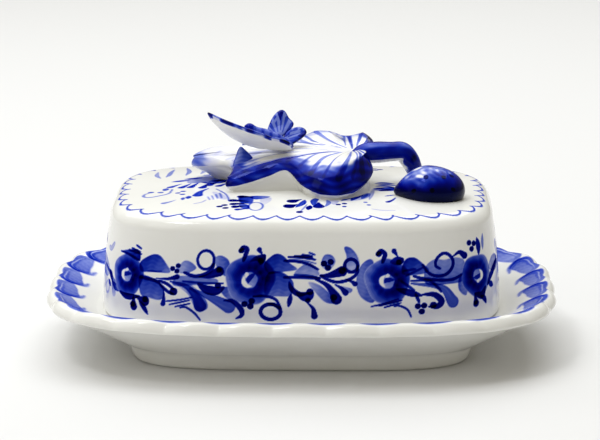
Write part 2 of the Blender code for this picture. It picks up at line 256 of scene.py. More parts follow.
# Half width of a stroke along its run, as a share of its widest
SHAPES = {
    "comma": lambda run: 0.14 + 0.86 * run ** 1.2,
    "leaf": lambda run: 0.12 + 0.88 * np.sin(math.pi * run) ** 0.8,
    "line": lambda run: 0.6 + 0.4 * np.sin(math.pi * run) ** 0.5,
    "band": lambda run: np.ones_like(run),
}

# Paint of a flower's heavy and light side: shares of its radius, and the thickness at each
BLOOM_HEAVY = ((0.3, 0.36, 0.48, 0.66, 0.86, 1.0), (0.0, 1.2, 1.95, 1.55, 0.8, 0.6))
BLOOM_LIGHT = ((0.3, 0.4, 0.55, 0.75, 1.0), (0.0, 1.1, 1.1, 0.5, 0.3))

STREAKS = 0.12                  # unevenness of a stroke along the brush's hairs
MOTTLE = 0.1                    # unevenness of a wash
POOL_WIDTH = 0.5                # width of the darker rim where a wash has pooled


class Canvas:
    """A surface flattened to millimetres, and the thickness of the cobalt on it."""

    def __init__(self, a, b, wrap=0.0):
        self.a = a
        self.b = b
        self.wrap = wrap
        self.tone = np.zeros(len(a))

    def near(self, line, margin):
        """Canvas points around a line: their numbers and their places."""
        low = line.min(0) - margin
        high = line.max(0) + margin
        a = self.a
        if self.wrap:
            middle = 0.5 * (low[0] + high[0])
            a = (a - middle + 0.5 * self.wrap) % self.wrap - 0.5 * self.wrap + middle
        chosen = np.flatnonzero(
            (a > low[0]) & (a < high[0]) & (self.b > low[1]) & (self.b < high[1])
        )
        return chosen, np.stack([a[chosen], self.b[chosen]], 1)

    @staticmethod
    def measure(spots, line):
        """Distance of each spot from a line, its side (+ is left), and its run along it, 0 to 1."""
        step = np.diff(line, axis=0)
        offset = spots[:, None] - line[None, :-1]
        share = (offset * step).sum(2) / np.maximum((step ** 2).sum(1), 1e-9)
        share = np.clip(share, 0.0, 1.0)
        gap = offset - share[..., None] * step
        distance = np.hypot(gap[..., 0], gap[..., 1])
        nearest = distance.argmin(1)
        row = np.arange(len(spots))
        close = offset[row, nearest]
        along = step[nearest]
        side = np.sign(along[:, 0] * close[:, 1] - along[:, 1] * close[:, 0])
        run = (nearest + share[row, nearest]) / len(step)
        return distance[row, nearest], side, run

    def stroke(self, points, width, load, shape, side=0.0, lift=False, soft=0.4):
        """One stroke of the brush, or of a dry one that lifts the paint off again.

        Width is its half width, load its thickness of paint, and side darkens its left edge.
        """
        line = smooth_path(points)
        chosen, spots = self.near(line, width + soft)
        if not len(chosen):
            return
        distance, hand, run = self.measure(spots, line)
        half = width * SHAPES[shape](run)
        cover = step_between(-0.5 * soft, 0.5 * soft, half - distance)
        if lift:
            self.tone[chosen] *= 1.0 - cover * load
            return
        across = hand * np.clip(distance / half, 0.0, 1.0)
        pooled = 0.85 + 0.3 * np.abs(across) ** 3
        streaks = 1.0 + STREAKS * grain(3.0 * across + line[0, 0], 2.0 * run + line[0, 1])
        self.tone[chosen] += cover * load * pooled * streaks * (1.0 + side * across)

    def wash(self, points, load, lean, soft=0.5):
        """A filled shape with a pooled edge; lean is the direction in which it grows darker."""
        line = smooth_path(points, 8, True)
        chosen, spots = self.near(line, soft)
        if not len(chosen):
            return
        ring = np.concatenate([line, line[:1]])
        distance, _, _ = self.measure(spots, ring)
        above = ring[None, :, 1] > spots[:, 1, None]
        crosses = above[:, 1:] != above[:, :-1]
        start = ring[:-1]
        step = np.diff(ring, axis=0)
        rise = np.where(np.abs(step[:, 1]) < 1e-9, 1e-9, step[:, 1])
        meeting = start[:, 0] + (spots[:, 1, None] - start[:, 1]) / rise * step[:, 0]
        inside = (crosses & (meeting > spots[:, 0, None])).sum(1) % 2 == 1
        depth = np.where(inside, distance, -distance)
        cover = step_between(-0.5 * soft, 0.5 * soft, depth)
        middle = line.mean(0)
        reach = np.abs(line - middle).max()
        slope = ((spots - middle) / reach) @ np.array(lean)
        pooled = 0.9 + 0.25 * np.exp(-np.maximum(depth, 0.0) / POOL_WIDTH)
        mottle = 1.0 + MOTTLE * grain(0.9 * spots[:, 0], 0.9 * spots[:, 1])
        self.tone[chosen] += cover * load * pooled * mottle * np.clip(1.0 + slope, 0.1, 2.5)

    def bloom(self, centre, radius, bearing):
        """Round flower laid in at once: a pale skirt, a dark ring and a bare heart."""
        chosen, spots = self.near(np.array([centre]), 1.1 * radius)
        offset = (spots - centre) / radius
        turn = np.arctan2(offset[:, 1], offset[:, 0])
        waver = 1.0 + 0.03 * np.sin(5.0 * turn + bearing) + 0.03 * np.sin(3.0 * turn)
        reach = np.hypot(*offset.T) / waver
        shaded = 0.5 + 0.5 * np.cos(turn - bearing)
        body = np.interp(reach, *BLOOM_HEAVY)
        fringe = np.interp(reach, *BLOOM_LIGHT)
        streaks = 1.0 + STREAKS * grain(6.0 * turn, 2.0 * reach)
        tone = (shaded * body + (1.0 - shaded) * fringe) * streaks
        cover = 1.0 - step_between(0.94, 1.03, reach)
        self.tone[chosen] = np.maximum(self.tone[chosen] * (1.0 - 0.8 * cover), cover * tone)

    def dots(self, places, radius, load):
        """Round touches of the brush."""
        for a, b in places:
            self.stroke(((a - 0.1, b), (a + 0.1, b)), radius, load, "band")

    def loop(self, centre, half_sizes, width, load):
        """Thin line round an ellipse."""
        turn = np.radians(np.linspace(0.0, 360.0, 17))
        points = np.array(centre) + np.array(half_sizes) * np.stack([np.cos(turn), np.sin(turn)], 1)
        self.stroke(points, width, load, "band")


# ---------------------------------------------------------------- materials

# Colour of the fired cobalt by its optical thickness, as 8-bit display values
COBALT_COLOURS = (
    (0.0, (240, 240, 237)),
    (0.12, (200, 202, 232)),
    (0.3, (116, 132, 208)),
    (0.5, (58, 80, 188)),
    (0.75, (20, 46, 168)),
    (1.0, (4, 20, 145)),
    (1.4, (1, 4, 110)),
    (2.0, (0, 0, 58)),
    (3.0, (0, 0, 12)),
)

# Gloss of the clear glaze, and the thickness of cobalt at which the gloss is fully tinted
GLAZE_ROUGHNESS = 0.09
CLEAR_GLOSS = 0.36
SOAKED_TONE = 0.6
SOAKED_TINT = (0.22, 0.3, 0.9)

# Faint clouds in the porcelain's white
CLOUD_LOW = (0.965, 0.965, 0.95)
CLOUD_SCALE = 45.0
WHITE = (1.0, 1.0, 1.0)

# Slight unevenness of the fired surface
RIPPLE_SCALE = 110.0
RIPPLE_STRENGTH = 0.025
RIPPLE_HEIGHT = 0.0006


def linear(level):
    """Linear value of an 8-bit display value."""
    share = level / 255.0
    return share / 12.92 if share <= 0.04045 else ((share + 0.055) / 1.055) ** 2.4


def ramp_node(tree, stops, value):
    """Colour ramp of a value through stops, each a position and a linear colour."""
    ramp = tree.nodes.new("ShaderNodeValToRGB")
    elements = ramp.color_ramp.elements
    while len(elements) < len(stops):
        elements.new(0.5)
    for element, (position, colour) in zip(elements, stops):
        element.position = position
        element.color = (*colour, 1.0)
    tree.links.new(value, ramp.inputs["Fac"])
    return ramp.outputs["Color"]


def noise_node(tree, scale, detail, place):
    """Noise of one scale and detail."""
    noise = tree.nodes.new("ShaderNodeTexNoise")
    noise.inputs["Scale"].default_value = scale
    noise.inputs["Detail"].default_value = detail
    tree.links.new(place, noise.inputs["Vector"])
    return noise.outputs["Fac"]


def fired_colour(tree, paint, place):
    """The cobalt's colour by its thickness, over porcelain with faint clouds."""
    stops = [
        (tone / TONE_RANGE, [linear(level) for level in levels])
        for tone, levels in COBALT_COLOURS
    ]
    cloud = noise_node(tree, CLOUD_SCALE, 3.0, place)
    tint = tree.nodes.new("ShaderNodeMix")
    tint.data_type = "RGBA"
    tint.blend_type = "MULTIPLY"
    tint.inputs["Factor"].default_value = 1.0
    tree.links.new(ramp_node(tree, stops, paint), tint.inputs["A"])
    tree.links.new(ramp_node(tree, ((0.3, CLOUD_LOW), (0.7, WHITE)), cloud), tint.inputs["B"])
    return tint.outputs["Result"]


def gloss_level(tree, paint, painted_gloss):
    """Strength of the gloss, from clear glaze to glaze that has soaked the cobalt up."""
    gloss = tree.nodes.new("ShaderNodeMapRange")
    gloss.inputs["From Max"].default_value = SOAKED_TONE / TONE_RANGE
    gloss.inputs["To Min"].default_value = CLEAR_GLOSS
    gloss.inputs["To Max"].default_value = painted_gloss
    tree.links.new(paint, gloss.inputs["Value"])
    return gloss.outputs["Result"]


def rippled(tree, place):
    """Normal of the slightly uneven fired surface."""
    bump = tree.nodes.new("ShaderNodeBump")
    bump.inputs["Strength"].default_value = RIPPLE_STRENGTH
    bump.inputs["Distance"].default_value = RIPPLE_HEIGHT
    tree.links.new(noise_node(tree, RIPPLE_SCALE, 2.0, place), bump.inputs["Height"])
    return bump.outputs["Normal"]


def glaze(name, painted_gloss):
    """Clear glossy glaze over porcelain and cobalt, duller where it has soaked the cobalt up."""
    material = bpy.data.materials.new(name)
    material.use_nodes = True
    tree = material.node_tree
    attribute = tree.nodes.new("ShaderNodeAttribute")
    attribute.attribute_name = "cobalt"
    paint = attribute.outputs["Fac"]
    place = tree.nodes.new("ShaderNodeTexCoord").outputs["Object"]
    sheen = ramp_node(tree, ((0.0, WHITE), (SOAKED_TONE / TONE_RANGE, SOAKED_TINT)), paint)
    sockets = tree.nodes["Principled BSDF"].inputs
    sockets["Roughness"].default_value = GLAZE_ROUGHNESS
    sockets["IOR"].default_value = 1.5
    tree.links.new(fired_colour(tree, paint, place), sockets["Base Color"])
    tree.links.new(sheen, sockets["Specular Tint"])
    tree.links.new(gloss_level(tree, paint, painted_gloss), sockets["Specular IOR Level"])
    tree.links.new(rippled(tree, place), sockets["Normal"])
    return material


# ---------------------------------------------------------------- plate

# Side of the foot ring, where the belly's profile takes over: outset and height
FOOT_SIDE = (-0.3, 3.4)
# Belly from the foot to the lip: share of the way out, share of the rise, exponent
BELLY = (
    (0.06, 0.0, 4.2),
    (0.13, 0.07, 4.1),
    (0.26, 0.22, 4.0),
    (0.45, 0.44, 3.8),
    (0.72, 0.73, 3.5),
    (0.92, 0.93, 3.3),
)
# Crest of the lip, where the slope's profile takes over: inset, height and lobe depth
LIP_CREST = (3.8, RIM_TOP - 0.15, 0.9)
PAINTED_LIP_ROWS = 12           # rings of the lip, at its top, that the painted commas reach
RIM_PAINT_DEPTH = 15.0          # depth of the painted canvas, from those rings to the well


def lobed(ring, depth):
    """Pull a ring in, and a little down, between its lobes."""
    along = np.arange(len(ring)) / len(ring) + 0.25
    bulge = np.sqrt(np.cos(math.pi * LOBES * along) ** 2 + LOBE_SOFTNESS ** 2)
    pull = depth * np.maximum(1.0 - bulge, 0.0)
    share = 1.0 - pull / np.hypot(ring[:, 0], ring[:, 1])
    return np.column_stack([ring[:, :2] * share[:, None], ring[:, 2] - LOBE_DIP * pull])


def stations_to_rings(stations, steps, columns):
    """Rings along a smooth profile; a station is half x, half y, exponent, height, lobe depth.

    A profile that carries on from another leaves out its own first ring.
    """
    rings = []
    for half_x, half_y, exponent, height, depth in smooth_path(stations, steps):
        ring = flat_ring(outline(half_x, half_y, exponent, columns), max(height, 0.0))
        rings.append(lobed(ring, depth) if depth > 0.0 else ring)
    return rings


def rim_station(inset, height, depth):
    """Station inside the plate's rim by an inset."""
    return (RIM_X - inset, RIM_Y - inset, RIM_EXPONENT, height, depth)


def foot_station(outset, height):
    """Station outside the foot ring by an outset."""
    return (FOOT_X + outset, FOOT_Y + outset, FOOT_EXPONENT, height, 0.0)


def well_station(outset, height):
    """Station outside the well's flat floor by an outset."""
    reach = WELL_MARGIN + outset
    return (LID_X + reach, LID_Y + reach, LID_EXPONENT, height, 0.0)


def halfway(first, second, depth):
    """Station halfway between two others, with a lobe depth of its own."""
    return (*(0.5 * (a + b) for a, b in zip(first[:4], second)), depth)


def inner_rings(half_x, half_y, exponent, height, sizes):
    """Flat rings inside an outline; a size is its share, and how often the columns are halved."""
    rings = []
    for share, halvings in sizes:
        shape = outline(share * half_x, share * half_y, exponent, PLATE_COLUMNS >> halvings)
        rings.append(flat_ring(shape, height))
    return rings


def plate_foot():
    """Rings from the middle of the recess under the plate, out and round the foot ring."""
    recess = FOOT_RING + RECESS_FILLET
    roof = inner_rings(FOOT_X - recess, FOOT_Y - recess, FOOT_EXPONENT, RECESS_ROOF, (
        (0.12, 5), (0.25, 4), (0.5, 3), (0.75, 2), (0.94, 2),
    ))
    ring = stations_to_rings([
        foot_station(-recess, RECESS_ROOF - 0.1),
        foot_station(-FOOT_RING - 0.3, RECESS_ROOF - 1.6),
        foot_station(-FOOT_RING, RECESS_ROOF - 5.0),
        foot_station(-FOOT_RING, 1.0),
        foot_station(-4.2, 0.0),
        foot_station(-2.4, 0.0),
        foot_station(-1.1, 0.8),
        foot_station(*FOOT_SIDE),
    ], 5, PLATE_COLUMNS // 4)
    return [*roof, *ring]


def plate_belly():
    """Rings of the underside, from the foot ring's side out to the lip."""
    stations = [foot_station(*FOOT_SIDE), foot_station(0.3, FOOT_TOP - 1.2)]
    for share, rise, exponent in BELLY:
        stations.append((
            FOOT_X + share * (RIM_X - LIP_INSET - FOOT_X),
            FOOT_Y + share * (RIM_Y - LIP_INSET - FOOT_Y),
            exponent,
            FOOT_TOP + rise * (LIP_BOTTOM - FOOT_TOP),
            0.0,
        ))
    stations.append(rim_station(LIP_INSET, LIP_BOTTOM, 0.1))
    return stations_to_rings(stations, 7, PLATE_COLUMNS // 4)[1:]


def plate_lip():
    """Rings of the rounded, scalloped lip, after one with half its columns."""
    inset = LIP_INSET - 0.2
    refine = outline(RIM_X - inset, RIM_Y - inset, RIM_EXPONENT, PLATE_COLUMNS // 2)
    return [flat_ring(refine, LIP_BOTTOM + 0.02)] + stations_to_rings([
        rim_station(LIP_INSET, LIP_BOTTOM, 0.1),
        rim_station(1.2, LIP_BOTTOM + 0.3, 0.3),
        rim_station(0.1, LIP_BOTTOM + 1.6, 1.2),
        rim_station(0.5, LIP_BOTTOM + 3.3, 1.6),
        rim_station(1.6, RIM_TOP - 0.7, LOBE_DEPTH),
        rim_station(2.9, RIM_TOP - 0.05, LOBE_DEPTH),
        rim_station(*LIP_CREST),
    ], 7, PLATE_COLUMNS)[1:]


def plate_slope():
    """Rings from the lip's crest down into the well."""
    top = rim_station(5.2, RIM_TOP - 0.9, 0.6)
    foot = well_station(2.8, WELL_FLOOR + 0.9)
    return stations_to_rings([
        rim_station(*LIP_CREST),
        top,
        halfway(top, foot, 0.25),
        foot,
        well_station(0.6, WELL_FLOOR + 0.1),
    ], 12, PLATE_COLUMNS)[1:]


def make_plate():
    """Footed plate with a scalloped lip and painted commas round its rim."""
    lip = plate_lip()
    plain = [*plate_foot(), *plate_belly(), *lip[:-PAINTED_LIP_ROWS]]
    painted = [*lip[-PAINTED_LIP_ROWS:], *plate_slope()]
    well = inner_rings(LID_X + WELL_MARGIN, LID_Y + WELL_MARGIN, LID_EXPONENT, WELL_FLOOR, (
        (0.985, 1), (0.95, 2), (0.85, 2), (0.7, 2), (0.5, 3), (0.3, 4), (0.15, 5),
    ))
    rings = [*plain, *painted, *well]
    plate = skin("plate_glazed", (0.0, 0.0, RECESS_ROOF), rings, (0.0, 0.0, WELL_FLOOR))
    commas = paint_rim(np.stack(painted))
    first = sum(len(ring) for ring in plain)
    tone = np.zeros(len(plate.data.vertices))
    tone[first:first + len(commas)] = commas
    wear(plate, tone, GLAZE, "dish", "porcelain", "plate")


def paint_rim(rings):
    """One shell-like comma in every lobe of the rim, on rings from the lip down to the well."""
    middle = rings[len(rings) // 2]
    ahead = np.roll(middle, -1, axis=0)
    along = np.concatenate(([0.0], np.cumsum(np.hypot(*(ahead - middle)[:-1, :2].T))))
    girth = along[-1] + np.hypot(*(middle[0] - middle[-1])[:2])
    down = np.cumsum(np.linalg.norm(np.diff(rings, axis=0, prepend=rings[:1]), axis=2), axis=0)
    depth = down / down[-1] * RIM_PAINT_DEPTH
    canvas = Canvas(np.tile(along, len(rings)), depth.ravel(), girth)
    pitch = girth / LOBES
    for lobe in range(LOBES):
        comma(canvas, (lobe + 0.5) * pitch - 0.25 * girth, pitch)
    return canvas.tone


def comma(canvas, centre, pitch):
    """Shell-like stroke: out along the lobe's edge, then curled back in towards the well."""
    left = centre - 0.5 * pitch
    right = centre + 0.5 * pitch
    wobble = 0.3 * math.sin(1.9 * centre)
    sweep = (
        (left + 0.06 * pitch, 5.5),
        (left + 0.16 * pitch, 2.6 + wobble),
        (centre - 0.04 * pitch, 1.3),
        (right - 0.18 * pitch, 2.1),
        (right - 0.06 * pitch, 5.2),
        (right - 0.16 * pitch, 9.0 + wobble),
        (centre + 0.04 * pitch, 10.4),
    )
    shell = (
        (left - 0.02 * pitch, 5.8),
        (left + 0.12 * pitch, 1.6 + wobble),
        (centre, 0.2),
        (right - 0.12 * pitch, 1.2),
        (right + 0.02 * pitch, 4.8),
        (right - 0.16 * pitch, 9.0),
        (centre, 7.8),
        (left + 0.26 * pitch, 7.6),
    )
    outer_glint = [(a, b + 0.6) for a, b in sweep[1:5]]
    inner_glint = [(a - 0.5, b - 0.5) for a, b in sweep[4:]]
    canvas.wash(shell, 0.42, (0.3, 0.0), 0.9)
    canvas.stroke(sweep, 1.8, 0.12, "leaf", 0.35, soft=0.9)
    canvas.stroke(sweep[3:], 1.3, 0.3, "leaf", soft=1.4)
    canvas.stroke(outer_glint, 0.3, 0.55, "leaf", lift=True, soft=0.5)
    canvas.stroke(inner_glint, 0.3, 0.5, "leaf", lift=True, soft=0.5)


# ---------------------------------------------------------------- lid

def wall_inset(height):
    """How far the lid's wall leans in at a height."""
    share = np.clip((height - LID_BOTTOM) / (LID_SHOULDER - LID_BOTTOM), 0.0, 1.0)
    return LID_TAPER * share ** 1.8


def lid_top(x, y):
    """Height of the lid's crowned top."""
    across = np.abs(x) / (LID_X - CROWN_INSET)
    deep = np.abs(y) / (LID_Y - CROWN_INSET)
    share = (across ** LID_EXPONENT + deep ** LID_EXPONENT) ** (1.0 / LID_EXPONENT)
    return LID_EDGE_TOP + LID_CROWN * (1.0 - np.minimum(share, 1.0) ** 2)


def lid_ring(inset, height, columns=LID_COLUMNS):
    """Ring inside the lid's bottom edge by an inset."""
    return flat_ring(outline(LID_X - inset, LID_Y - inset, LID_EXPONENT, columns), height)


def crown_ring(share, halvings, drop=0.0):
    """Ring of the crowned top at a share of its size, its columns halved a few times."""
    half_x = share * (LID_X - CROWN_INSET)
    half_y = share * (LID_Y - CROWN_INSET)
    shape = outline(half_x, half_y, LID_EXPONENT, LID_COLUMNS >> halvings)
    return flat_ring(shape, LID_EDGE_TOP + LID_CROWN * (1.0 - share ** 2) - drop)


def crown_halvings(share):
    """How often the columns are halved at a share of the crown, to keep them evenly spaced."""
    return min(int(-math.log2(max(share, 0.02)) + 0.35), 5)


def lid_inside():
    """Rings of the hollow, from its roof down to the seat."""
    quarter = LID_COLUMNS // 4
    rings = []
    for share, halvings in ((0.12, 5), (0.25, 4), (0.5, 3), (0.75, 2), (0.9, 2), (1.0, 2)):
        rings.append(crown_ring(share, halvings, LID_WALL))
    inner_fillet = LID_FILLET - LID_WALL
    for degrees in (75.0, 60.0, 45.0, 30.0, 15.0):
        turn = math.radians(degrees)
        inset = CROWN_INSET - inner_fillet * math.cos(turn)
        rings.append(lid_ring(inset, LID_SHOULDER + inner_fillet * math.sin(turn), quarter))
    for share in np.linspace(1.0, 0.04, 12):
        height = LID_BOTTOM + share * (LID_SHOULDER - LID_BOTTOM)
        rings.append(lid_ring(wall_inset(height) + LID_WALL, height, quarter))
    return rings


def lid_outside():
    """Rings of the seat, the wall, the shoulder and the crowned top."""
    rings = [lid_ring(LID_WALL - 0.4, LID_BOTTOM + 0.3, LID_COLUMNS // 2)]
    for inset, lift in LID_SEAT:
        rings.append(lid_ring(inset, LID_BOTTOM + lift))
    for height in np.arange(LID_BOTTOM + 1.0, LID_SHOULDER, WALL_ROW):
        rings.append(lid_ring(wall_inset(height), height))
    for index in range(FILLET_ROWS):
        turn = 0.5 * math.pi * index / FILLET_ROWS
        inset = LID_TAPER + LID_FILLET * (1.0 - math.cos(turn))
        rings.append(lid_ring(inset, LID_SHOULDER + LID_FILLET * math.sin(turn)))
    for share in np.arange(1.0, 0.02, -CROWN_ROW):
        rings.append(crown_ring(share, crown_halvings(share)))
    return rings


def make_lid():
    """Hollow lid, with the garland round its wall and the scalloped border on its top."""
    inside = lid_inside()
    outside = lid_outside()
    rings = [*inside, *outside]
    lid = skin("lid_glazed", (0.0, 0.0, LID_PEAK - LID_WALL), rings, (0.0, 0.0, LID_PEAK))
    points = points_of(lid)
    base = outline(LID_X, LID_Y, LID_EXPONENT, LID_COLUMNS)
    girth = np.hypot(*(np.roll(base, -1, axis=0) - base).T).sum()
    fraction = np.concatenate([np.arange(len(ring)) / len(ring) for ring in rings] + [[0.0, 0.0]])
    outer = np.zeros(len(points), bool)
    outer[sum(len(ring) for ring in inside):-2] = True
    outer[-1] = True
    wall = np.flatnonzero(outer & (points[:, 2] < WALL_PAINT_TOP))
    roof = np.flatnonzero(outer & (points[:, 2] > TOP_PAINT_EDGE))
    side = Canvas(fraction[wall] * girth, points[wall, 2], girth)
    top = Canvas(points[roof, 0], points[roof, 1])
    paint_garland(side, girth)
    paint_top(top)
    tone = np.zeros(len(points))
    tone[wall] = side.tone
    tone[roof] = top.tone
    wear(lid, tone, GLAZE, "lid", "porcelain", "lid_shell")


# Garland on the lid's wall: the place of each rose's middle, then strokes in the order they are
# laid, as kind, half width, load and points.  A point is the distance round the lid from the middle
# of its front, and the height.  A wash has the bearing of its darkest side instead of a width, a
# flower its radius and the bearing of its heavy side, and a ring its middle and its half sizes.
LEFT_ROSE = (-71.0, (
    ("wash", 180, 0.4, (-94, 36), (-87, 34.6), (-83, 37.5), (-87, 41), (-94, 42.5)),
    ("wash", 90, 0.3, (-81, 34), (-78, 33), (-77.3, 29.2), (-79.5, 28.6)),
    ("leaf", 1.3, 1.1, (-84, 37.8), (-82, 36.5), (-80.2, 34)),
    ("leaf", 1.0, 0.9, (-84.5, 33.8), (-81.5, 32)),
    ("leaf", 1.3, 0.8, (-80.5, 34), (-77.5, 32.4), (-74, 31.5)),
    ("line", 0.8, 0.5, (-76, 33.5), (-79, 34.6), (-83, 37), (-90, 39)),
    ("line", 0.5, 0.25, (-83, 31.5), (-84, 29), (-87, 28.5), (-88, 31), (-86, 33)),
    ("line", 1.1, 0.25, (-87, 46.5), (-84, 46.5), (-81.5, 49)),
    ("flower", 8.3, 5, (-71, 38.5)),
    ("wash", 0, 0.9, (-75, 47.2), (-70, 48.6), (-66, 48.8), (-64.8, 46), (-66, 44.8), (-71, 46.3)),
    ("line", 0.4, 1.0, (-75.5, 47.2), (-70, 46.6), (-65, 45)),
    ("line", 0.35, 1.2, (-71, 48.4), (-64.5, 47.5)),
    ("line", 0.35, 1.2, (-69.5, 49.3), (-65, 48.2)),
    ("line", 0.35, 1.2, (-67.3, 50.7), (-64.8, 49.6)),
    ("leaf", 1.2, 1.5, (-74.5, 31.3), (-71, 30.2), (-68, 30.2), (-64, 31)),
    ("comma", 1.5, 1.5, (-66.8, 31), (-66.5, 26.6)),
    ("comma", 2.0, 1.5, (-65.5, 30.6), (-61.6, 29.4)),
    ("leaf", 0.9, 1.4, (-64, 29), (-62, 27), (-60, 24.2)),
    ("dots", 1.1, 1.6, (-67, 27.4), (-61.4, 29.9)),
    ("wash", 135, 0.72, (-64.5, 44.5), (-60, 47.6), (-56.5, 47.8), (-53.5, 45), (-51.4, 41.6),
     (-56, 41.2), (-60, 41.2), (-64, 41)),
    ("line", 0.3, 0.6, (-61, 41.2), (-55, 41.7)),
    ("wash", 90, 0.62, (-64.5, 39), (-59, 38.8), (-54.5, 36.4), (-53.3, 32), (-55.5, 30.4),
     (-60, 31), (-63.5, 32)),
    ("comma", 0.9, 1.2, (-53.7, 34.5), (-53.4, 31.5), (-53.7, 29)),
    ("line", 0.6, 1.1, (-64, 38.5), (-58, 38), (-55.5, 37)),
    ("comma", 0.9, 1.5, (-57, 38.8), (-52, 39), (-48.4, 40)),
    ("line", 0.5, 1.5, (-56, 38), (-52.5, 37), (-49.5, 35)),
    ("line", 0.5, 1.5, (-55.3, 36.6), (-52, 34), (-49.5, 33)),
    ("dots", 1.4, 1.7, (-49.6, 34.1)),
    ("dots", 0.8, 2.0, (-50.5, 43.1), (-48.3, 44.3), (-48.7, 42.2)),
    ("wash", 0, 0.33, (-48.2, 43.2), (-46.5, 46), (-44, 46.3), (-41, 43.8), (-44, 41.8),
     (-47.5, 41.5)),
    ("wash", 270, 0.4, (-48.5, 40), (-42, 40.5), (-33, 39.7), (-33, 37.8), (-40, 37.2),
     (-49.5, 36.5)),
    ("line", 0.4, 0.9, (-46, 38.4), (-40, 38), (-30, 38)),
    ("ring", 0.45, 1.4, (-37.3, 47), (3.3, 3.6)),
    ("line", 0.65, 1.4, (-34, 45.5), (-35, 43), (-38.5, 41), (-42, 40.6), (-45.6, 41.8)),
    ("comma", 1.9, 1.5, (-39.5, 40.3), (-35.5, 40.9), (-31.8, 42.6)),
    ("dots", 1.0, 1.7, (-31.8, 43.2), (-32, 37.1)),
    ("leaf", 1.7, 1.5, (-40, 37.6), (-36.5, 35.5), (-32.5, 35), (-29.5, 36.5)),
    ("comma", 2.4, 0.75, (-51, 38), (-44.5, 36.3), (-40.5, 32.5), (-38.8, 29)),
    ("wash", 300, 0.35, (-49, 37.5), (-43, 37.3), (-37, 32), (-36, 28), (-40, 27), (-43.5, 33)),
    ("line", 0.3, 1.1, (-52.5, 30.1), (-47, 31), (-42, 32.2)),
    ("line", 0.3, 1.1, (-51, 28.9), (-43, 31)),
    ("line", 0.3, 1.1, (-48.7, 28.2), (-42.8, 29.7)),
    ("line", 0.35, 1.2, (-46.7, 27.9), (-44.5, 28.2), (-41, 26), (-38.7, 23.3)),
    ("comma", 2.6, 0.6, (-43, 35.6), (-35, 32.5), (-27.6, 28.9)),
))
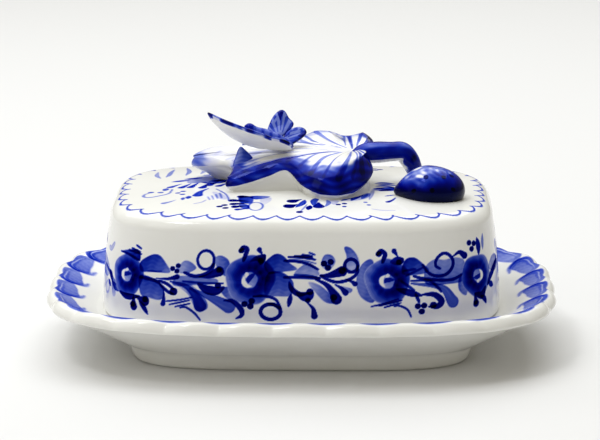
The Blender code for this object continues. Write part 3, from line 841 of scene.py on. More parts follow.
FULL_ROSE = (-19.5, (
    ("wash", 90, 0.5, (-30.5, 36), (-28, 32), (-21, 31.6), (-15.5, 33), (-22, 37)),
    ("wash", 0, 0.5, (-34, 47), (-31.5, 48.8), (-28, 46.5), (-28, 41), (-31, 42)),
    ("flower", 9.8, 40, (-19.5, 39.5)),
    ("line", 0.8, 1.5, (-23.8, 50.6), (-22.6, 52), (-21, 51.3), (-21.7, 48.8), (-22.3, 47)),
    ("dots", 1.0, 1.7, (-23.2, 50.9), (-15.4, 47)),
    ("wash", 0, 1.4, (-19.8, 46.4), (-17.5, 48.6), (-13.8, 49.3), (-13.8, 47), (-15.5, 45.4),
     (-17, 47)),
    ("comma", 0.9, 1.4, (-14.8, 49.3), (-16.1, 51.2)),
    ("wash", 120, 0.78, (-14, 45.5), (-11, 48.8), (-8.5, 49.6), (-6, 48.4), (-3.8, 46), (-1, 43.7),
     (-6, 42.8), (-12, 42)),
    ("wash", 90, 0.62, (-12.5, 42), (-7, 42.4), (-3, 39.5), (-2.3, 36), (-4, 33.3), (-8, 33.2),
     (-13.5, 34)),
    ("leaf", 0.9, 1.3, (-3.2, 34), (-3.8, 31.5), (-4.3, 29)),
    ("line", 0.6, 1.2, (-6, 40.6), (2, 40.6), (8, 40.3)),
    ("line", 0.5, 0.9, (-2, 41.6), (4, 41), (8, 40.2)),
    ("line", 0.4, 1.4, (-4.5, 48.5), (1, 48.3), (6.3, 47.5)),
    ("line", 0.4, 1.4, (-2, 48.9), (5, 48.4)),
    ("line", 0.35, 1.3, (1, 49.4), (5, 48.8)),
    ("line", 0.35, 0.9, (3.8, 50.2), (6.2, 49.3)),
    ("line", 0.45, 1.5, (-6, 47), (0, 46.6), (4, 45.5), (7.4, 43.7)),
    ("line", 0.35, 0.5, (-4, 47.6), (2, 47), (6.5, 46)),
    ("wash", 90, 0.3, (-2, 42.3), (3, 46), (7, 43.5), (7.5, 41.3), (2, 41.6)),
    ("wash", 90, 0.33, (8.6, 46), (10, 49.2), (12.8, 49.2), (14.3, 46.8), (12.5, 44), (10, 43.8)),
    ("dots", 1.05, 2.0, (9.7, 46), (11.3, 44.4), (12.4, 46.6)),
    ("wash", 90, 0.38, (18, 52.2), (20.5, 52), (23, 49), (23.7, 45), (20.5, 43), (17.5, 45),
     (18.8, 48.5)),
    ("ring", 0.55, 1.5, (20.5, 45.2), (2.6, 2.5)),
    ("line", 0.55, 1.4, (23.1, 45), (22.8, 42.5), (20, 40), (15, 38.8), (11, 39.8), (8.3, 41.3)),
    ("comma", 1.9, 1.5, (8.3, 41.3), (12, 41.5), (16.8, 43)),
    ("dots", 1.2, 1.7, (16.8, 43.2), (13.4, 32.8), (4.1, 34.9)),
    ("comma", 0.9, 1.4, (18.3, 39.9), (20.5, 39), (21.8, 38.1)),
    ("comma", 2.1, 1.4, (6.5, 39.8), (10.5, 37.8), (13.3, 34.5), (14.4, 32.2)),
    ("wash", 0, 0.4, (3.5, 38.7), (8, 37.5), (13, 33), (13.5, 30.6), (10, 31), (6, 35)),
    ("comma", 1.1, 1.4, (14, 37.8), (16.3, 36.5), (18, 34.7)),
    ("wash", 0, 0.3, (16, 37.2), (20.5, 36.2), (19.5, 34.6)),
    ("leaf", 1.0, 1.5, (-4, 38.8), (-3, 36), (0, 34), (4, 34.6)),
    ("wash", 270, 1.1, (-1.5, 34.8), (1.5, 34.3), (5.3, 35), (5.2, 32.5), (3, 31.2), (0.5, 32)),
    ("dots", 0.9, 1.6, (3.3, 31.6)),
    ("comma", 1.2, 1.5, (3.2, 30.6), (5.3, 28.3), (5.8, 25.4)),
    ("leaf", 0.95, 1.4, (-29.5, 31.3), (-26, 31), (-22.8, 28), (-22.5, 25.5), (-24.7, 24.2)),
    ("dots", 1.05, 2.0, (-21.4, 30), (-18.6, 31.2), (-19.1, 29.1)),
    ("ring", 0.65, 1.5, (-11.2, 27), (3.9, 3.0)),
    ("line", 0.45, 1.4, (-7.3, 28.6), (-9.5, 32), (-14, 33.2), (-18, 33)),
    ("line", 0.45, 1.2, (-12, 30.2), (-10, 29.8), (-7.8, 28.2)),
))
BUDDED_ROSE = (34.0, (
    ("wash", 0, 0.5, (29, 47.3), (24.6, 45.5), (22.3, 39), (24, 33), (29, 31), (30, 39)),
    ("flower", 9.0, 0, (34.5, 39)),
    ("line", 0.8, 1.5, (31, 49.5), (32.6, 50.8), (34.2, 49.6), (33.6, 48), (33, 46.5)),
    ("dots", 1.0, 1.7, (31.7, 49.7), (39.5, 46.4)),
    ("wash", 0, 1.2, (36, 46.5), (38.5, 48.4), (41.3, 47.8), (41, 46), (38.5, 45.3)),
    ("comma", 0.95, 1.3, (39.2, 48.6), (37.9, 50.7)),
    ("wash", 120, 0.78, (40.5, 42), (42, 47), (45.5, 48), (48.5, 46), (51.3, 42.6), (46, 41.3)),
    ("line", 0.4, 0.8, (41, 43), (46, 43.5)),
    ("line", 0.4, 0.8, (42, 41), (49, 44)),
    ("line", 0.55, 1.4, (49, 45), (51, 42), (54, 40.5), (58, 40.7), (61, 43), (61.8, 46),
     (60, 48.5), (57.5, 48.9), (54.9, 47), (54.3, 44.5), (56, 43.2)),
    ("wash", 270, 0.4, (50, 44), (54, 47), (58, 46.5), (63, 47), (67, 45), (66, 38), (58, 37),
     (50, 37.5)),
    ("comma", 1.3, 1.5, (62, 47.5), (65, 48.8), (67.3, 47.3)),
    ("line", 0.55, 1.3, (45, 40.8), (50, 39.5), (60, 38.5), (66, 40.3)),
    ("line", 0.5, 1.1, (44, 39), (51, 38.8), (54.5, 36), (55.8, 34.2)),
    ("comma", 2.4, 0.6, (44, 38), (56, 35.8), (60.6, 29.8)),
    ("leaf", 1.2, 1.5, (48, 33.5), (53, 33.2), (55.8, 30.5), (54, 28.5), (50.5, 28.6)),
    ("dots", 1.2, 1.6, (52.4, 29.1)),
    ("dots", 1.0, 2.0, (46.2, 29), (48.7, 29.1), (47.7, 26.8)),
    ("line", 0.6, 1.2, (45.5, 33.8), (46.8, 30.5)),
    ("line", 0.3, 1.2, (28, 29.2), (33, 30.3), (38.5, 32)),
    ("line", 0.3, 1.2, (31, 29.4), (40, 31.5)),
    ("line", 0.3, 1.2, (33, 28.8), (39.5, 30.5)),
    ("line", 0.35, 1.2, (37, 29.2), (38.8, 29.4), (42, 27.8), (43.5, 24.8)),
    ("leaf", 1.3, 1.3, (38, 36), (43, 34.4), (48, 33)),
    ("line", 0.5, 1.0, (40, 39), (45, 35.3)),
))
RIGHT_ROSE = (73.5, (
    ("wash", 180, 0.45, (67, 41), (63.8, 38.5), (63.6, 34), (67, 32)),
    ("flower", 8.5, 180, (73.5, 38.5)),
    ("leaf", 1.4, 1.4, (71, 31.8), (75, 30.4), (77.8, 33.4)),
    ("comma", 1.5, 1.5, (71, 31.4), (71.5, 27.8)),
    ("dots", 0.9, 1.6, (71.4, 28)),
    ("leaf", 1.0, 1.4, (74, 30), (76.5, 28.8), (77.7, 26.6)),
    ("dots", 0.95, 1.9, (70.3, 51.8), (72.8, 51.2), (71.3, 49.3)),
    ("leaf", 1.3, 1.3, (74.8, 53), (75.3, 50), (75, 46.5)),
    ("leaf", 0.9, 0.4, (79.2, 54), (78.4, 51), (78, 48)),
    ("leaf", 1.5, 1.2, (79, 33.5), (83, 37), (88, 39.5), (93, 41)),
    ("leaf", 1.2, 1.1, (80, 34.2), (84.5, 32.4)),
    ("wash", 0, 0.5, (81, 40), (85, 43.8), (91, 43.4), (95, 40), (88, 37.5)),
))
UNSEEN_ROSES = (FULL_ROSE, BUDDED_ROSE, LEFT_ROSE, FULL_ROSE, BUDDED_ROSE)
FIRST_UNSEEN = 106.0            # place of the first rose past the right end

# Strokes on the lid's top, in plan; the bunch is laid twice, in front and turned about behind
TOP_SPRAYS = (
    ("line", 0.6, 0.35, (-60, -8.5), (-62.7, -12), (-62.5, -16), (-60, -17), (-57, -15.5),
     (-53, -12), (-52, -5)),
    ("dots", 1.1, 0.5, (-60.3, -8.6), (-56.4, -9.5)),
    ("leaf", 1.3, 0.6, (-54.3, -2.5), (-55, -7)),
    ("dots", 0.9, 0.8, (-49.3, -11.8), (-47.4, -9.3), (-47.3, -14.4)),
    ("leaf", 0.8, 0.6, (-46.7, -19.5), (-46.8, -23.5)),
    ("leaf", 1.1, 0.8, (-44.5, -17.5), (-44.8, -22)),
    ("comma", 2.0, 0.8, (-37.5, -6), (-40.3, -11), (-41.2, -17)),
    ("comma", 1.1, 0.35, (-49.5, -23), (-51.5, -25.5), (-54, -27.4)),
    ("line", 0.4, 0.45, (-34.3, -7), (-30.5, -15), (-28.8, -22), (-28.5, -25)),
    ("line", 0.35, 0.4, (-37, -19.5), (-36, -24.5)),
    ("line", 0.35, 0.4, (-35.5, -18), (-34.5, -24)),
    ("line", 0.35, 0.4, (-34, -16), (-33, -23)),
    ("line", 0.35, 0.4, (-32.5, -14), (-31.3, -22.5)),
    ("line", 0.4, 0.25, (-37.5, -24.5), (-39, -27.5), (-42, -29.5)),
    ("wash", 0, 0.15, (-35.5, -12), (-31, -17), (-29.5, -24), (-33, -22)),
    ("comma", 1.3, 0.8, (-49, 4), (-53, -1)),
    ("comma", 1.4, 0.9, (-45, 4), (-48.5, -2.5)),
    ("comma", 1.4, 1.0, (-42, 5), (-44.8, -2.5)),
    ("comma", 1.5, 1.1, (-38, 3), (-40, -4)),
    ("comma", 1.5, 1.1, (-34, 6), (-37.5, 0)),
    ("comma", 1.3, 1.1, (-30, 3), (-33.5, -2)),
    ("leaf", 1.3, 0.8, (-53, 8.5), (-46, 10.5)),
    ("leaf", 1.3, 0.9, (-48, 12.5), (-41, 14)),
    ("leaf", 1.1, 0.7, (-41, 19), (-34, 20)),
    ("wash", 0, 0.45, (-46, 5), (-38, 6), (-32, 9), (-33, 16), (-40, 17), (-46, 13)),
    ("leaf", 1.0, 0.35, (-53.5, 35), (-54.5, 28), (-55, 22), (-56, 18)),
    ("leaf", 1.0, 0.35, (-48.5, 38), (-47, 28), (-48, 20)),
    ("leaf", 0.9, 0.3, (-60, 30), (-60, 22), (-58, 16)),
    ("leaf", 0.9, 0.3, (-42, 36), (-41, 28), (-42, 22)),
    ("leaf", 1.3, 0.8, (29.5, 3.2), (33.0, 4.6), (37.4, 3.6)),
    ("leaf", 1.2, 0.7, (30.0, 0.4), (34.0, 1.6), (38.2, 0.6)),
    ("leaf", 1.1, 0.6, (29.6, -2.2), (33.2, -1.0), (37.0, -2.4)),
)
TOP_BUNCH = (
    ("dots", 0.95, 1.9, (-31.7, -33.6), (-29.8, -31.9), (-29.3, -35.5)),
    ("wash", 180, 0.8, (-24, -19.5), (-19.5, -21), (-18.8, -27), (-20, -30), (-24, -28)),
    ("wash", 180, 0.55, (-20, -19.8), (-13, -19.8), (-13, -22), (-18, -24.5)),
    ("wash", 90, 0.12, (-16, -24), (-12, -22), (-12, -27), (-15, -32)),
    ("wash", 0, 0.6, (-24, -30), (-20.5, -32), (-20.3, -37), (-23.5, -35)),
    ("comma", 1.7, 1.7, (-19, -21), (-23.5, -20.5)),
    ("comma", 1.7, 1.7, (-20.5, -27), (-26.8, -25.8)),
    ("comma", 1.5, 1.7, (-21, -29.5), (-26.3, -30.5)),
    ("comma", 1.5, 1.7, (-21.3, -33), (-25.5, -34)),
    ("comma", 1.1, 0.9, (-20.5, -36.5), (-24.5, -37.4)),
    ("ring", 0.4, 0.4, (-17.5, -33.5), (2.8, 5)),
    ("comma", 2.2, 1.8, (0, -24.4), (-3.2, -26.6)),
    ("comma", 2.5, 1.7, (-1.5, -31), (-4.2, -33)),
    ("leaf", 1.3, 0.8, (1.6, -25), (0.6, -30), (-1.8, -34.6)),
    ("dots", 1.15, 1.5, (-0.2, -40.2)),
    ("line", 0.4, 0.3, (0.3, -39), (1.5, -35), (2.5, -31)),
    ("leaf", 1.2, 1.5, (3.8, -32.2), (3.1, -37.6)),
    ("leaf", 1.4, 0.75, (7, -21.5), (5.3, -26), (5.2, -32.5)),
    ("comma", 2.3, 1.4, (7, -28.5), (7.2, -33.2)),
    ("leaf", 0.9, 0.45, (10.3, -25), (11, -29), (9.8, -33.5)),
    ("wash", 0, 0.15, (10.5, -25), (15, -26), (13, -31)),
    ("dots", 0.85, 1.6, (14.8, -30.8), (17.2, -29.6)),
    ("dots", 0.7, 1.1, (17.2, -33.3)),
    ("leaf", 1.0, 0.6, (16, -26), (18, -23), (20, -19)),
    ("leaf", 1.5, 0.8, (20, -25.5), (22, -20), (24.5, -16)),
    ("leaf", 1.0, 0.5, (24, -23), (26.5, -15)),
    ("wash", 45, 0.22, (15, -24), (20, -17), (27, -14), (26, -22), (20, -26)),
    ("leaf", 0.9, 0.3, (29, -5), (28, -15), (27, -24)),
    ("dots", 0.7, 0.6, (26.8, -31), (25.5, -27.5)),
    ("line", 0.35, 0.2, (28, -36), (32, -37.5), (37, -37.3)),
    ("comma", 0.9, 1.2, (37.5, -20), (36, -24), (34.3, -26.5)),
    ("line", 0.4, 1.0, (33.5, -18), (36.5, -16)),
    ("wash", 0, 0.7, (29, -9), (33, -3), (38, -4), (36, -9)),
    ("leaf", 1.2, 1.0, (29, -7), (33, -4)),
    ("leaf", 1.3, 1.2, (31, -10), (36, -6)),
    ("leaf", 1.0, 1.0, (35, -2), (41, -6)),
)
WASH_LEAN = 0.55                # how much darker a wash is at its darkest side

# Thin scalloped border round the lid's top
SCALLOPS = 44
SCALLOP_POINTS = 12
SCALLOP_INSET = 6.7
SCALLOP_DEPTH = 3.3
SCALLOP_LINE = 0.36             # half width of its line


def paint_strokes(canvas, strokes, move=lambda a, b: (a, b)):
    """Lay strokes, after moving each of their points."""
    for kind, width, load, *places in strokes:
        if kind == "wash":
            bearing = math.radians(width)
            lean = (WASH_LEAN * math.cos(bearing), WASH_LEAN * math.sin(bearing))
            canvas.wash([move(a, b) for a, b in places], load, lean)
        elif kind == "ring":
            canvas.loop(move(*places[0]), places[1], width, load)
        elif kind == "dots":
            canvas.dots([move(a, b) for a, b in places], width, load)
        elif kind == "flower":
            paint_flower(canvas, move(*places[0]), width, load)
        else:
            canvas.stroke([move(a, b) for a, b in places], width, load, kind)


def paint_flower(canvas, centre, radius, bearing):
    """Rose: a round bloom, heaviest on one side, with a glint and a dark lash in its heart."""
    def around(share, degrees):
        turn = math.radians(bearing + degrees)
        return (
            centre[0] + share * radius * math.cos(turn),
            centre[1] + share * radius * math.sin(turn),
        )

    canvas.bloom(centre, radius, math.radians(bearing))
    canvas.wash([around(0.38, degrees) for degrees in range(0, 360, 45)], 0.34, (0.3, 0.3), 0.8)
    glint = [around(0.27, degrees) for degrees in (110, 155, 200, 245)]
    canvas.stroke(glint, 0.1 * radius, 1.0, "leaf", lift=True, soft=0.5)
    canvas.stroke([around(0.27, 80), around(0.2, 92)], 0.08 * radius, 0.9, "band", lift=True)
    lash = [around(0.14, 200), around(0.06, 80), around(0.32, 12)]
    canvas.stroke(lash, 0.1 * radius, 0.85, "leaf")


def paint_garland(canvas, girth):
    """Roses and leaves round the wall: the front's own, then the same motifs round the rest."""
    for _, strokes in (LEFT_ROSE, FULL_ROSE, BUDDED_ROSE, RIGHT_ROSE):
        paint_strokes(canvas, strokes)
    pitch = (girth + LEFT_ROSE[0] - FIRST_UNSEEN) / len(UNSEEN_ROSES)
    for number, (origin, strokes) in enumerate(UNSEEN_ROSES):
        shift = FIRST_UNSEEN + pitch * number - origin
        paint_strokes(canvas, strokes, lambda a, b: (a + shift, b))


def paint_border(canvas):
    """Scalloped line round the edge of the top, each arc swelling outward."""
    outer, inner = (
        outline(LID_X - inset, LID_Y - inset, LID_EXPONENT, SCALLOPS * SCALLOP_POINTS)
        for inset in (SCALLOP_INSET, SCALLOP_INSET + SCALLOP_DEPTH)
    )
    run = np.arange(SCALLOP_POINTS + 1)
    arch = (1.0 - np.sin(math.pi * run / SCALLOP_POINTS) ** 0.75)[:, None]
    for arc in range(SCALLOPS):
        numbers = (SCALLOP_POINTS * arc + run) % len(outer)
        depth = arch * (0.85 + 0.2 * math.sin(2.7 * arc))
        line = outer[numbers] + depth * (inner[numbers] - outer[numbers])
        canvas.stroke(line, SCALLOP_LINE, 0.7, "band")


def paint_top(canvas):
    """Scalloped border, and the strokes about the relief."""
    paint_border(canvas)
    paint_strokes(canvas, TOP_SPRAYS)
    paint_strokes(canvas, TOP_BUNCH)
    paint_strokes(canvas, TOP_BUNCH, lambda a, b: (-a, -b))


# ---------------------------------------------------------------- relief

FOCUS = np.array((21.0, 2.0, 78.8))     # where every vein of the leaf meets the stem
LEAF_COLUMNS = 768
LEAF_ROWS = 14                  # rings between one control ring of the leaf and the next
LEAF_STROKES = 34
LEAF_SINK = 0.4                 # how far the leaf's foot goes into the lid
VEINS = 31
VEIN_HEIGHT = 0.16
# Painted band on the leaf's edge, counted in control rings from 0 at the focus: it starts on top,
# between rings 2 and 3, and stops just under ring 5, the outermost
BAND_START = 2.35
BAND_STOP = 5.15
# Edge of the leaf, anticlockwise: x, y, height, puff of the lobe behind it, share of its reach
# that sits on the lid, and how dark its painted edge is
LEAF_EDGE = (
    (26.8, 0.2, 75.8, 0.3, 0.8, 1.0),
    (28.8, 7.6, 79.0, 0.5, 0.8, 1.0),
    (28.6, 13.5, 80.2, 0.5, 0.7, 1.0),
    (25.0, 18.0, 81.2, 0.5, 0.7, 0.7),
    (18.5, 17.8, 80.2, 0.2, 0.7, 0.3),
    (15.0, 22.5, 80.0, 0.4, 0.7, 0.3),
    (11.5, 27.4, 79.8, 0.4, 0.7, 0.3),
    (4.5, 28.6, 79.6, 0.4, 0.7, 0.3),
    (-1.5, 24.6, 78.4, 0.4, 0.7, 0.2),
    (-11.0, 27.5, 77.0, 1.0, 0.7, 0.2),
    (-25.0, 26.0, 74.0, 1.0, 0.8, 0.3),
    (-26.5, 19.0, 73.6, 0.5, 0.8, 0.2),
    (-36.0, 20.5, 73.4, 1.4, 0.75, 0.05),
    (-45.0, 16.5, 70.8, 1.4, 0.85, 0.26),
    (-43.0, 10.5, 70.8, 1.4, 0.8, 0.28),
    (-36.0, 5.5, 72.2, 1.2, 0.75, 0.05),
    (-29.0, 2.5, 72.4, 0.8, 0.8, 0.08),
    (-28.5, -6.0, 70.6, 1.0, 0.85, 1.0),
    (-30.0, -13.5, 68.0, 1.4, 0.93, 0.95),
    (-22.0, -14.6, 69.6, 2.2, 0.9, 0.75),
    (-13.0, -13.8, 72.4, 2.2, 0.84, 0.7),
    (-6.0, -14.6, 74.8, 1.6, 0.8, 0.75),
    (0.0, -20.5, 70.4, 2.4, 0.9, 1.0),
    (7.0, -25.4, 68.2, 3.6, 0.95, 1.0),
    (16.0, -25.8, 67.8, 4.2, 0.96, 1.0),
    (23.5, -20.0, 69.0, 4.2, 0.94, 1.0),
    (28.6, -9.8, 73.0, 3.2, 0.88, 1.0),
)


def leaf_profile(edge):
    """Control rings of the leaf, from its focus over its rolled edge and back under to the lid."""
    tangent = np.roll(edge, -2, axis=0)[:, :2] - np.roll(edge, 2, axis=0)[:, :2]
    tangent /= np.hypot(*tangent.T)[:, None]
    outward = np.stack([tangent[:, 1], -tangent[:, 0]], 1)
    arm = edge[:, :2] - FOCUS[:2]
    height = edge[:, 2]
    puff = edge[:, 3]
    roll = 1.6 + 0.26 * puff
    pad = FOCUS[:2] + arm * edge[:, 4:5]
    floor = lid_top(pad[:, 0], pad[:, 1]) - LEAF_SINK
    drop = height - roll

    def over(share, inset, level):
        return np.column_stack([FOCUS[:2] + share * arm - inset[:, None] * outward, level])

    def mixed(share):
        return FOCUS[2] + (height + roll - FOCUS[2]) * share ** 2

    nothing = np.zeros(len(edge))
    return np.stack([
        over(0.04, nothing, mixed(0.04)),
        over(0.3, nothing, mixed(0.3) + 0.45 * puff),
        over(0.62, nothing, mixed(0.62) + 0.8 * puff),
        over(1.0, 1.6 * roll, height + 0.95 * roll + 1.1 * puff),
        over(1.0, 0.5 * roll, height + 0.7 * roll + 0.45 * puff),
        over(1.0, nothing, height - 0.1 * roll),
        over(1.0, 0.7 * roll, drop + 0.1),
        np.column_stack([
            0.5 * (edge[:, :2] + pad) - roll[:, None] * outward * 0.5,
            0.6 * drop + 0.4 * floor,
        ]),
        np.column_stack([pad, floor]),
    ])


def leaf_rings(edge):
    """Rings of the leaf, thinned near its focus, and the control ring that each belongs to."""
    control = leaf_profile(edge)
    curve = smooth_path(control.reshape(len(control), -1), LEAF_ROWS)
    curve = curve.reshape(len(curve), LEAF_COLUMNS, 3)
    levels = np.arange(len(curve)) / LEAF_ROWS
    around = np.arange(LEAF_COLUMNS) / LEAF_COLUMNS * 2.0 * math.pi
    veins = VEIN_HEIGHT * np.cos(VEINS * around + 1.3 * np.sin(5.0 * around))
    rings = []
    for level, ring in zip(levels, curve):
        fade = step_between(0.0, 1.0, level) * (1.0 - step_between(1.6, 2.6, level))
        ring[:, 2] += fade * veins
        reach = np.hypot(*(ring[:, :2] - FOCUS[:2]).T).mean()
        halvings = min(int(max(math.log2(14.0 / max(reach, 0.5)), 0.0)), 4) if level < 2.0 else 0
        rings.append(ring[::2 ** halvings])
    return rings, levels


def make_leaf():
    """Lobed leaf, every vein running to the focus, with a thick painted edge and an undercut."""
    edge = even_loop(LEAF_EDGE, LEAF_COLUMNS)
    rings, levels = leaf_rings(edge)
    leaf = skin("leaf_glazed", FOCUS, rings, (FOCUS[0], FOCUS[1], LID_PEAK - 1.0))
    level = np.repeat(levels, [len(ring) for ring in rings])
    level = np.concatenate([level, [0.0, 8.0]])
    puff, _, dark = np.concatenate(
        [edge[::LEAF_COLUMNS // len(ring), 3:] for ring in rings] + [np.zeros((2, 3))]
    ).T
    points = points_of(leaf)
    canvas = Canvas(points[:, 0], points[:, 1])
    paint_leaf(canvas)
    flutter = 0.22 * grain(0.45 * points[:, 0], 0.45 * points[:, 1])
    start = BAND_START - 0.05 * puff
    band = step_between(start, start + 0.9, level + flutter)
    band *= 1.0 - step_between(BAND_STOP, BAND_STOP + 0.15, level + 0.3 * flutter)
    mottle = 1.0 + 0.36 * grain(0.35 * points[:, 0] + 2.0, 0.5 * points[:, 2])
    heavy = 0.75 + 0.65 * step_between(2.6, 3.6, level)
    tone = canvas.tone * (1.0 - step_between(4.0, 4.6, level)) + band * dark * mottle * heavy
    wear(leaf, tone, RELIEF_GLAZE, "lid", "painted_relief", "leaf")


def paint_leaf(canvas):
    """Strokes that fan out from the focus along the lobes, except where the stem lies."""
    for number, spot in enumerate(even_loop(LEAF_EDGE, LEAF_STROKES)):
        arm = spot[:2] - FOCUS[:2]
        if arm[0] > 3.0 and abs(arm[1]) < 9.0:
            continue
        start = 0.22 + 0.1 * math.sin(2.3 * number)
        across = np.array((-arm[1], arm[0]))
        middle = FOCUS[:2] + 0.55 * arm + 0.07 * math.sin(0.9 * number) * across
        line = (FOCUS[:2] + start * arm, middle, FOCUS[:2] + 0.9 * arm)
        width = 0.85 + 0.35 * math.sin(3.1 * number)
        canvas.stroke(line, width, 0.8 - 0.012 * np.hypot(*arm), "comma", soft=0.7)


PILLOW_ROWS = 26


def sheet_through(points):
    """Smooth surface, height over x and y, that fits a cloud of points."""
    def terms(x, y):
        return np.stack([np.ones_like(x), x, y, x * x, x * y, y * y, x ** 3], -1)

    x, y, z = np.array(points).T
    weights = np.linalg.lstsq(terms(x, y), z, rcond=None)[0]
    return lambda spots: terms(spots[:, 0], spots[:, 1]) @ weights


def pillow(name, edge, thickness, puff, columns=320, sheet=None):
    """Thin closed petal, round-edged, through 3-D edge points and along a sheet if one is given.

    Also gives each vertex's level: 0 in the middle of the top, 1 at the edge, 2 underneath.
    """
    loop = even_loop(edge, columns)
    if sheet:
        loop[:, 2] = sheet(loop)
    centre = loop.mean(0)
    arms = loop - centre
    normal = np.cross(arms, np.roll(arms, -1, axis=0)).sum(0)
    normal /= np.linalg.norm(normal)
    if normal[2] < 0.0:
        normal = -normal

    def settle(ring, lift):
        if sheet:
            ring[:, 2] = sheet(ring)
        return ring + lift * normal

    shares = np.sin(np.linspace(0.05, 0.5 * math.pi, PILLOW_ROWS))
    back = shares[-2::-1]
    rings = []
    for half, face in ((0.5 * thickness, shares), (-0.5 * thickness, back)):
        for share in face:
            lift = half * (1.0 - share ** 6) ** 0.5 + puff * (1.0 - share ** 2)
            rings.append(settle(centre + share * arms, lift))
    first = settle(centre[None], puff + 0.5 * thickness)[0]
    last = settle(centre[None], puff - 0.5 * thickness)[0]
    item = skin(name, first, rings, last)
    level = np.concatenate([np.repeat(np.concatenate([shares, 2.0 - back]), columns), [0.0, 2.0]])
    return item, level


def tube(name, stops, columns=160, rows=90, flatten=1.0):
    """Round body along a path of x, y, z and radius, closed by rounded ends."""
    line = smooth_path(stops, 24)
    places = np.linspace(0.0, len(line) - 1.0, rows)
    index = np.arange(len(line))
    line = np.stack([np.interp(places, index, column) for column in line.T], 1)
    tangent = np.gradient(line[:, :3], axis=0)
    tangent /= np.linalg.norm(tangent, axis=1)[:, None]
    turn = np.linspace(0.0, 2.0 * math.pi, columns, endpoint=False)
    side = np.cross((0.0, 0.0, 1.0), tangent[0])
    rings = []
    for point, along in zip(line, tangent):
        side = side - side.dot(along) * along
        side /= np.linalg.norm(side)
        up = np.cross(along, side)
        rings.append(
            point[:3]
            + point[3] * (np.cos(turn)[:, None] * side + flatten * np.sin(turn)[:, None] * up)
        )
    first = line[0, :3] - 0.3 * line[0, 3] * tangent[0]
    last = line[-1, :3] + 0.3 * line[-1, 3] * tangent[-1]
    return skin(name, first, rings, last)


# Middle of the stem, from inside the leaf to inside the lid: x, y, z, radius
STEM = (
    (20.0, 0.6, 76.4, 2.2),
    (24.5, 1.2, 77.8, 4.3),
    (30.0, 2.4, 78.1, 4.8),
    (36.0, 4.2, 78.0, 4.4),
    (40.4, 5.8, 77.6, 4.4),
    (43.4, 7.2, 74.0, 4.3),
    (45.4, 8.6, 69.6, 3.7),
    (46.9, 9.6, 66.2, 3.4),
    (47.2, 10.0, 64.6, 3.9),
    (47.3, 10.1, 62.8, 4.6),
)
STEM_SPOT = (44.6, 4.0, 75.5)   # dark spot on the elbow


def make_stem():
    """Arched twig from the leaf's focus down to the lid's top, bare underneath, with a streaked
    painted highlight where it faces up.
    """
    stem = tube("stem_handle_glazed", STEM, flatten=0.9)
    points = points_of(stem)
    normals = normals_of(stem)
    painted = step_between(-0.6, -0.5, normals[:, 2])
    tone = painted * (1.12 + 0.15 * grain(0.4 * points[:, 0], 0.3 * points[:, 2]))
    # Painted highlight: the paint is thinned, in streaks, where the stem faces up
    turn = np.arctan2(normals[:, 2], -normals[:, 1])
    streaks = grain(3.5 * turn, 0.1 * points[:, 0] + 0.1 * points[:, 2])
    tone -= painted * (0.34 + 0.4 * streaks) * step_between(0.0, 0.8, normals[:, 2])
    away = np.linalg.norm(points - np.array(STEM_SPOT), axis=1)
    tone += 0.9 * (1.0 - step_between(1.0, 2.2, away))
    wear(stem, tone, COBALT_GLAZE, "lid", "cobalt_glaze", "stem_handle")


LEAF_TIP = (
    (-27.4, -1.5, 72.4),
    (-26.6, 0.6, 77.0),
    (-25.0, 2.0, 80.2),
    (-23.0, 2.2, 79.0),
    (-19.6, 1.6, 75.2),
    (-21.0, -1.0, 72.6),
)


def make_tip():
    """Small folded tip that stands on the leaf."""
    tip, level = pillow("leaf_tip_glazed", LEAF_TIP, 2.6, 0.4, 200)
    points = points_of(tip)
    tone = 0.38 + 0.34 * step_between(-25.0, -21.0, points[:, 0])
    tone += 0.1 * grain(0.8 * points[:, 0], points[:, 2])
    tone += 0.5 * step_between(0.9, 1.0, level) * (1.0 - step_between(1.0, 1.1, level))
    wear(tip, tone, RELIEF_GLAZE, "lid", "painted_relief", "leaf_tip")


BUG_COLUMNS = 384
BUG_ROWS = 83
BUG_SUNK = 0.42                 # how far below its widest ring the ladybug starts, in radians
BUG_SINK = 0.3                  # how far its edge goes into the lid
# Spots on each wing case: distance along from the middle, and round from the seam
BUG_SPOTS = (
    (-1.6, 7.0), (5.4, 6.4), (-6.4, 11.4), (0.8, 11.8), (9.2, 10.6), (-11.0, 12.6), (8.6, 4.2),
)


def make_ladybug():
    """Egg-shaped ladybug, head towards the leaf."""
    centre = 0.5 * (BUG_LOW + BUG_HIGH)
    half = 0.5 * (BUG_HIGH - BUG_LOW)
    base = lid_top(centre[0], centre[1])
    height = (BUG_HIGH[2] - base) / (1.0 + math.sin(BUG_SUNK))
    turn = np.linspace(0.0, 2.0 * math.pi, BUG_COLUMNS, endpoint=False)
    rings = []
    for rise in np.linspace(-BUG_SUNK, 0.5 * math.pi, BUG_ROWS + 1)[:-1]:
        across = np.cos(turn) * math.cos(rise) ** 0.9
        deep = np.sin(turn) * math.cos(rise) ** 0.9
        head = np.clip(-across, 0.0, 1.0) ** 2
        x = centre[0] + half[0] * across
        y = centre[1] + half[1] * deep * (1.0 - 0.55 * head)
        tall = height * (math.sin(rise) + math.sin(BUG_SUNK)) * (1.0 - 0.5 * head)
        rings.append(np.column_stack([x, y, lid_top(x, y) - BUG_SINK + tall]))
    top = (centre[0], centre[1], BUG_HIGH[2] - BUG_SINK)
    bug = skin("ladybug_glazed", (centre[0], centre[1], LID_EDGE_TOP), rings, top)
    tone = ladybug_paint(points_of(bug), (centre[0], centre[1], base), half[1])
    wear(bug, tone, COBALT_GLAZE, "lid", "cobalt_glaze", "ladybug")


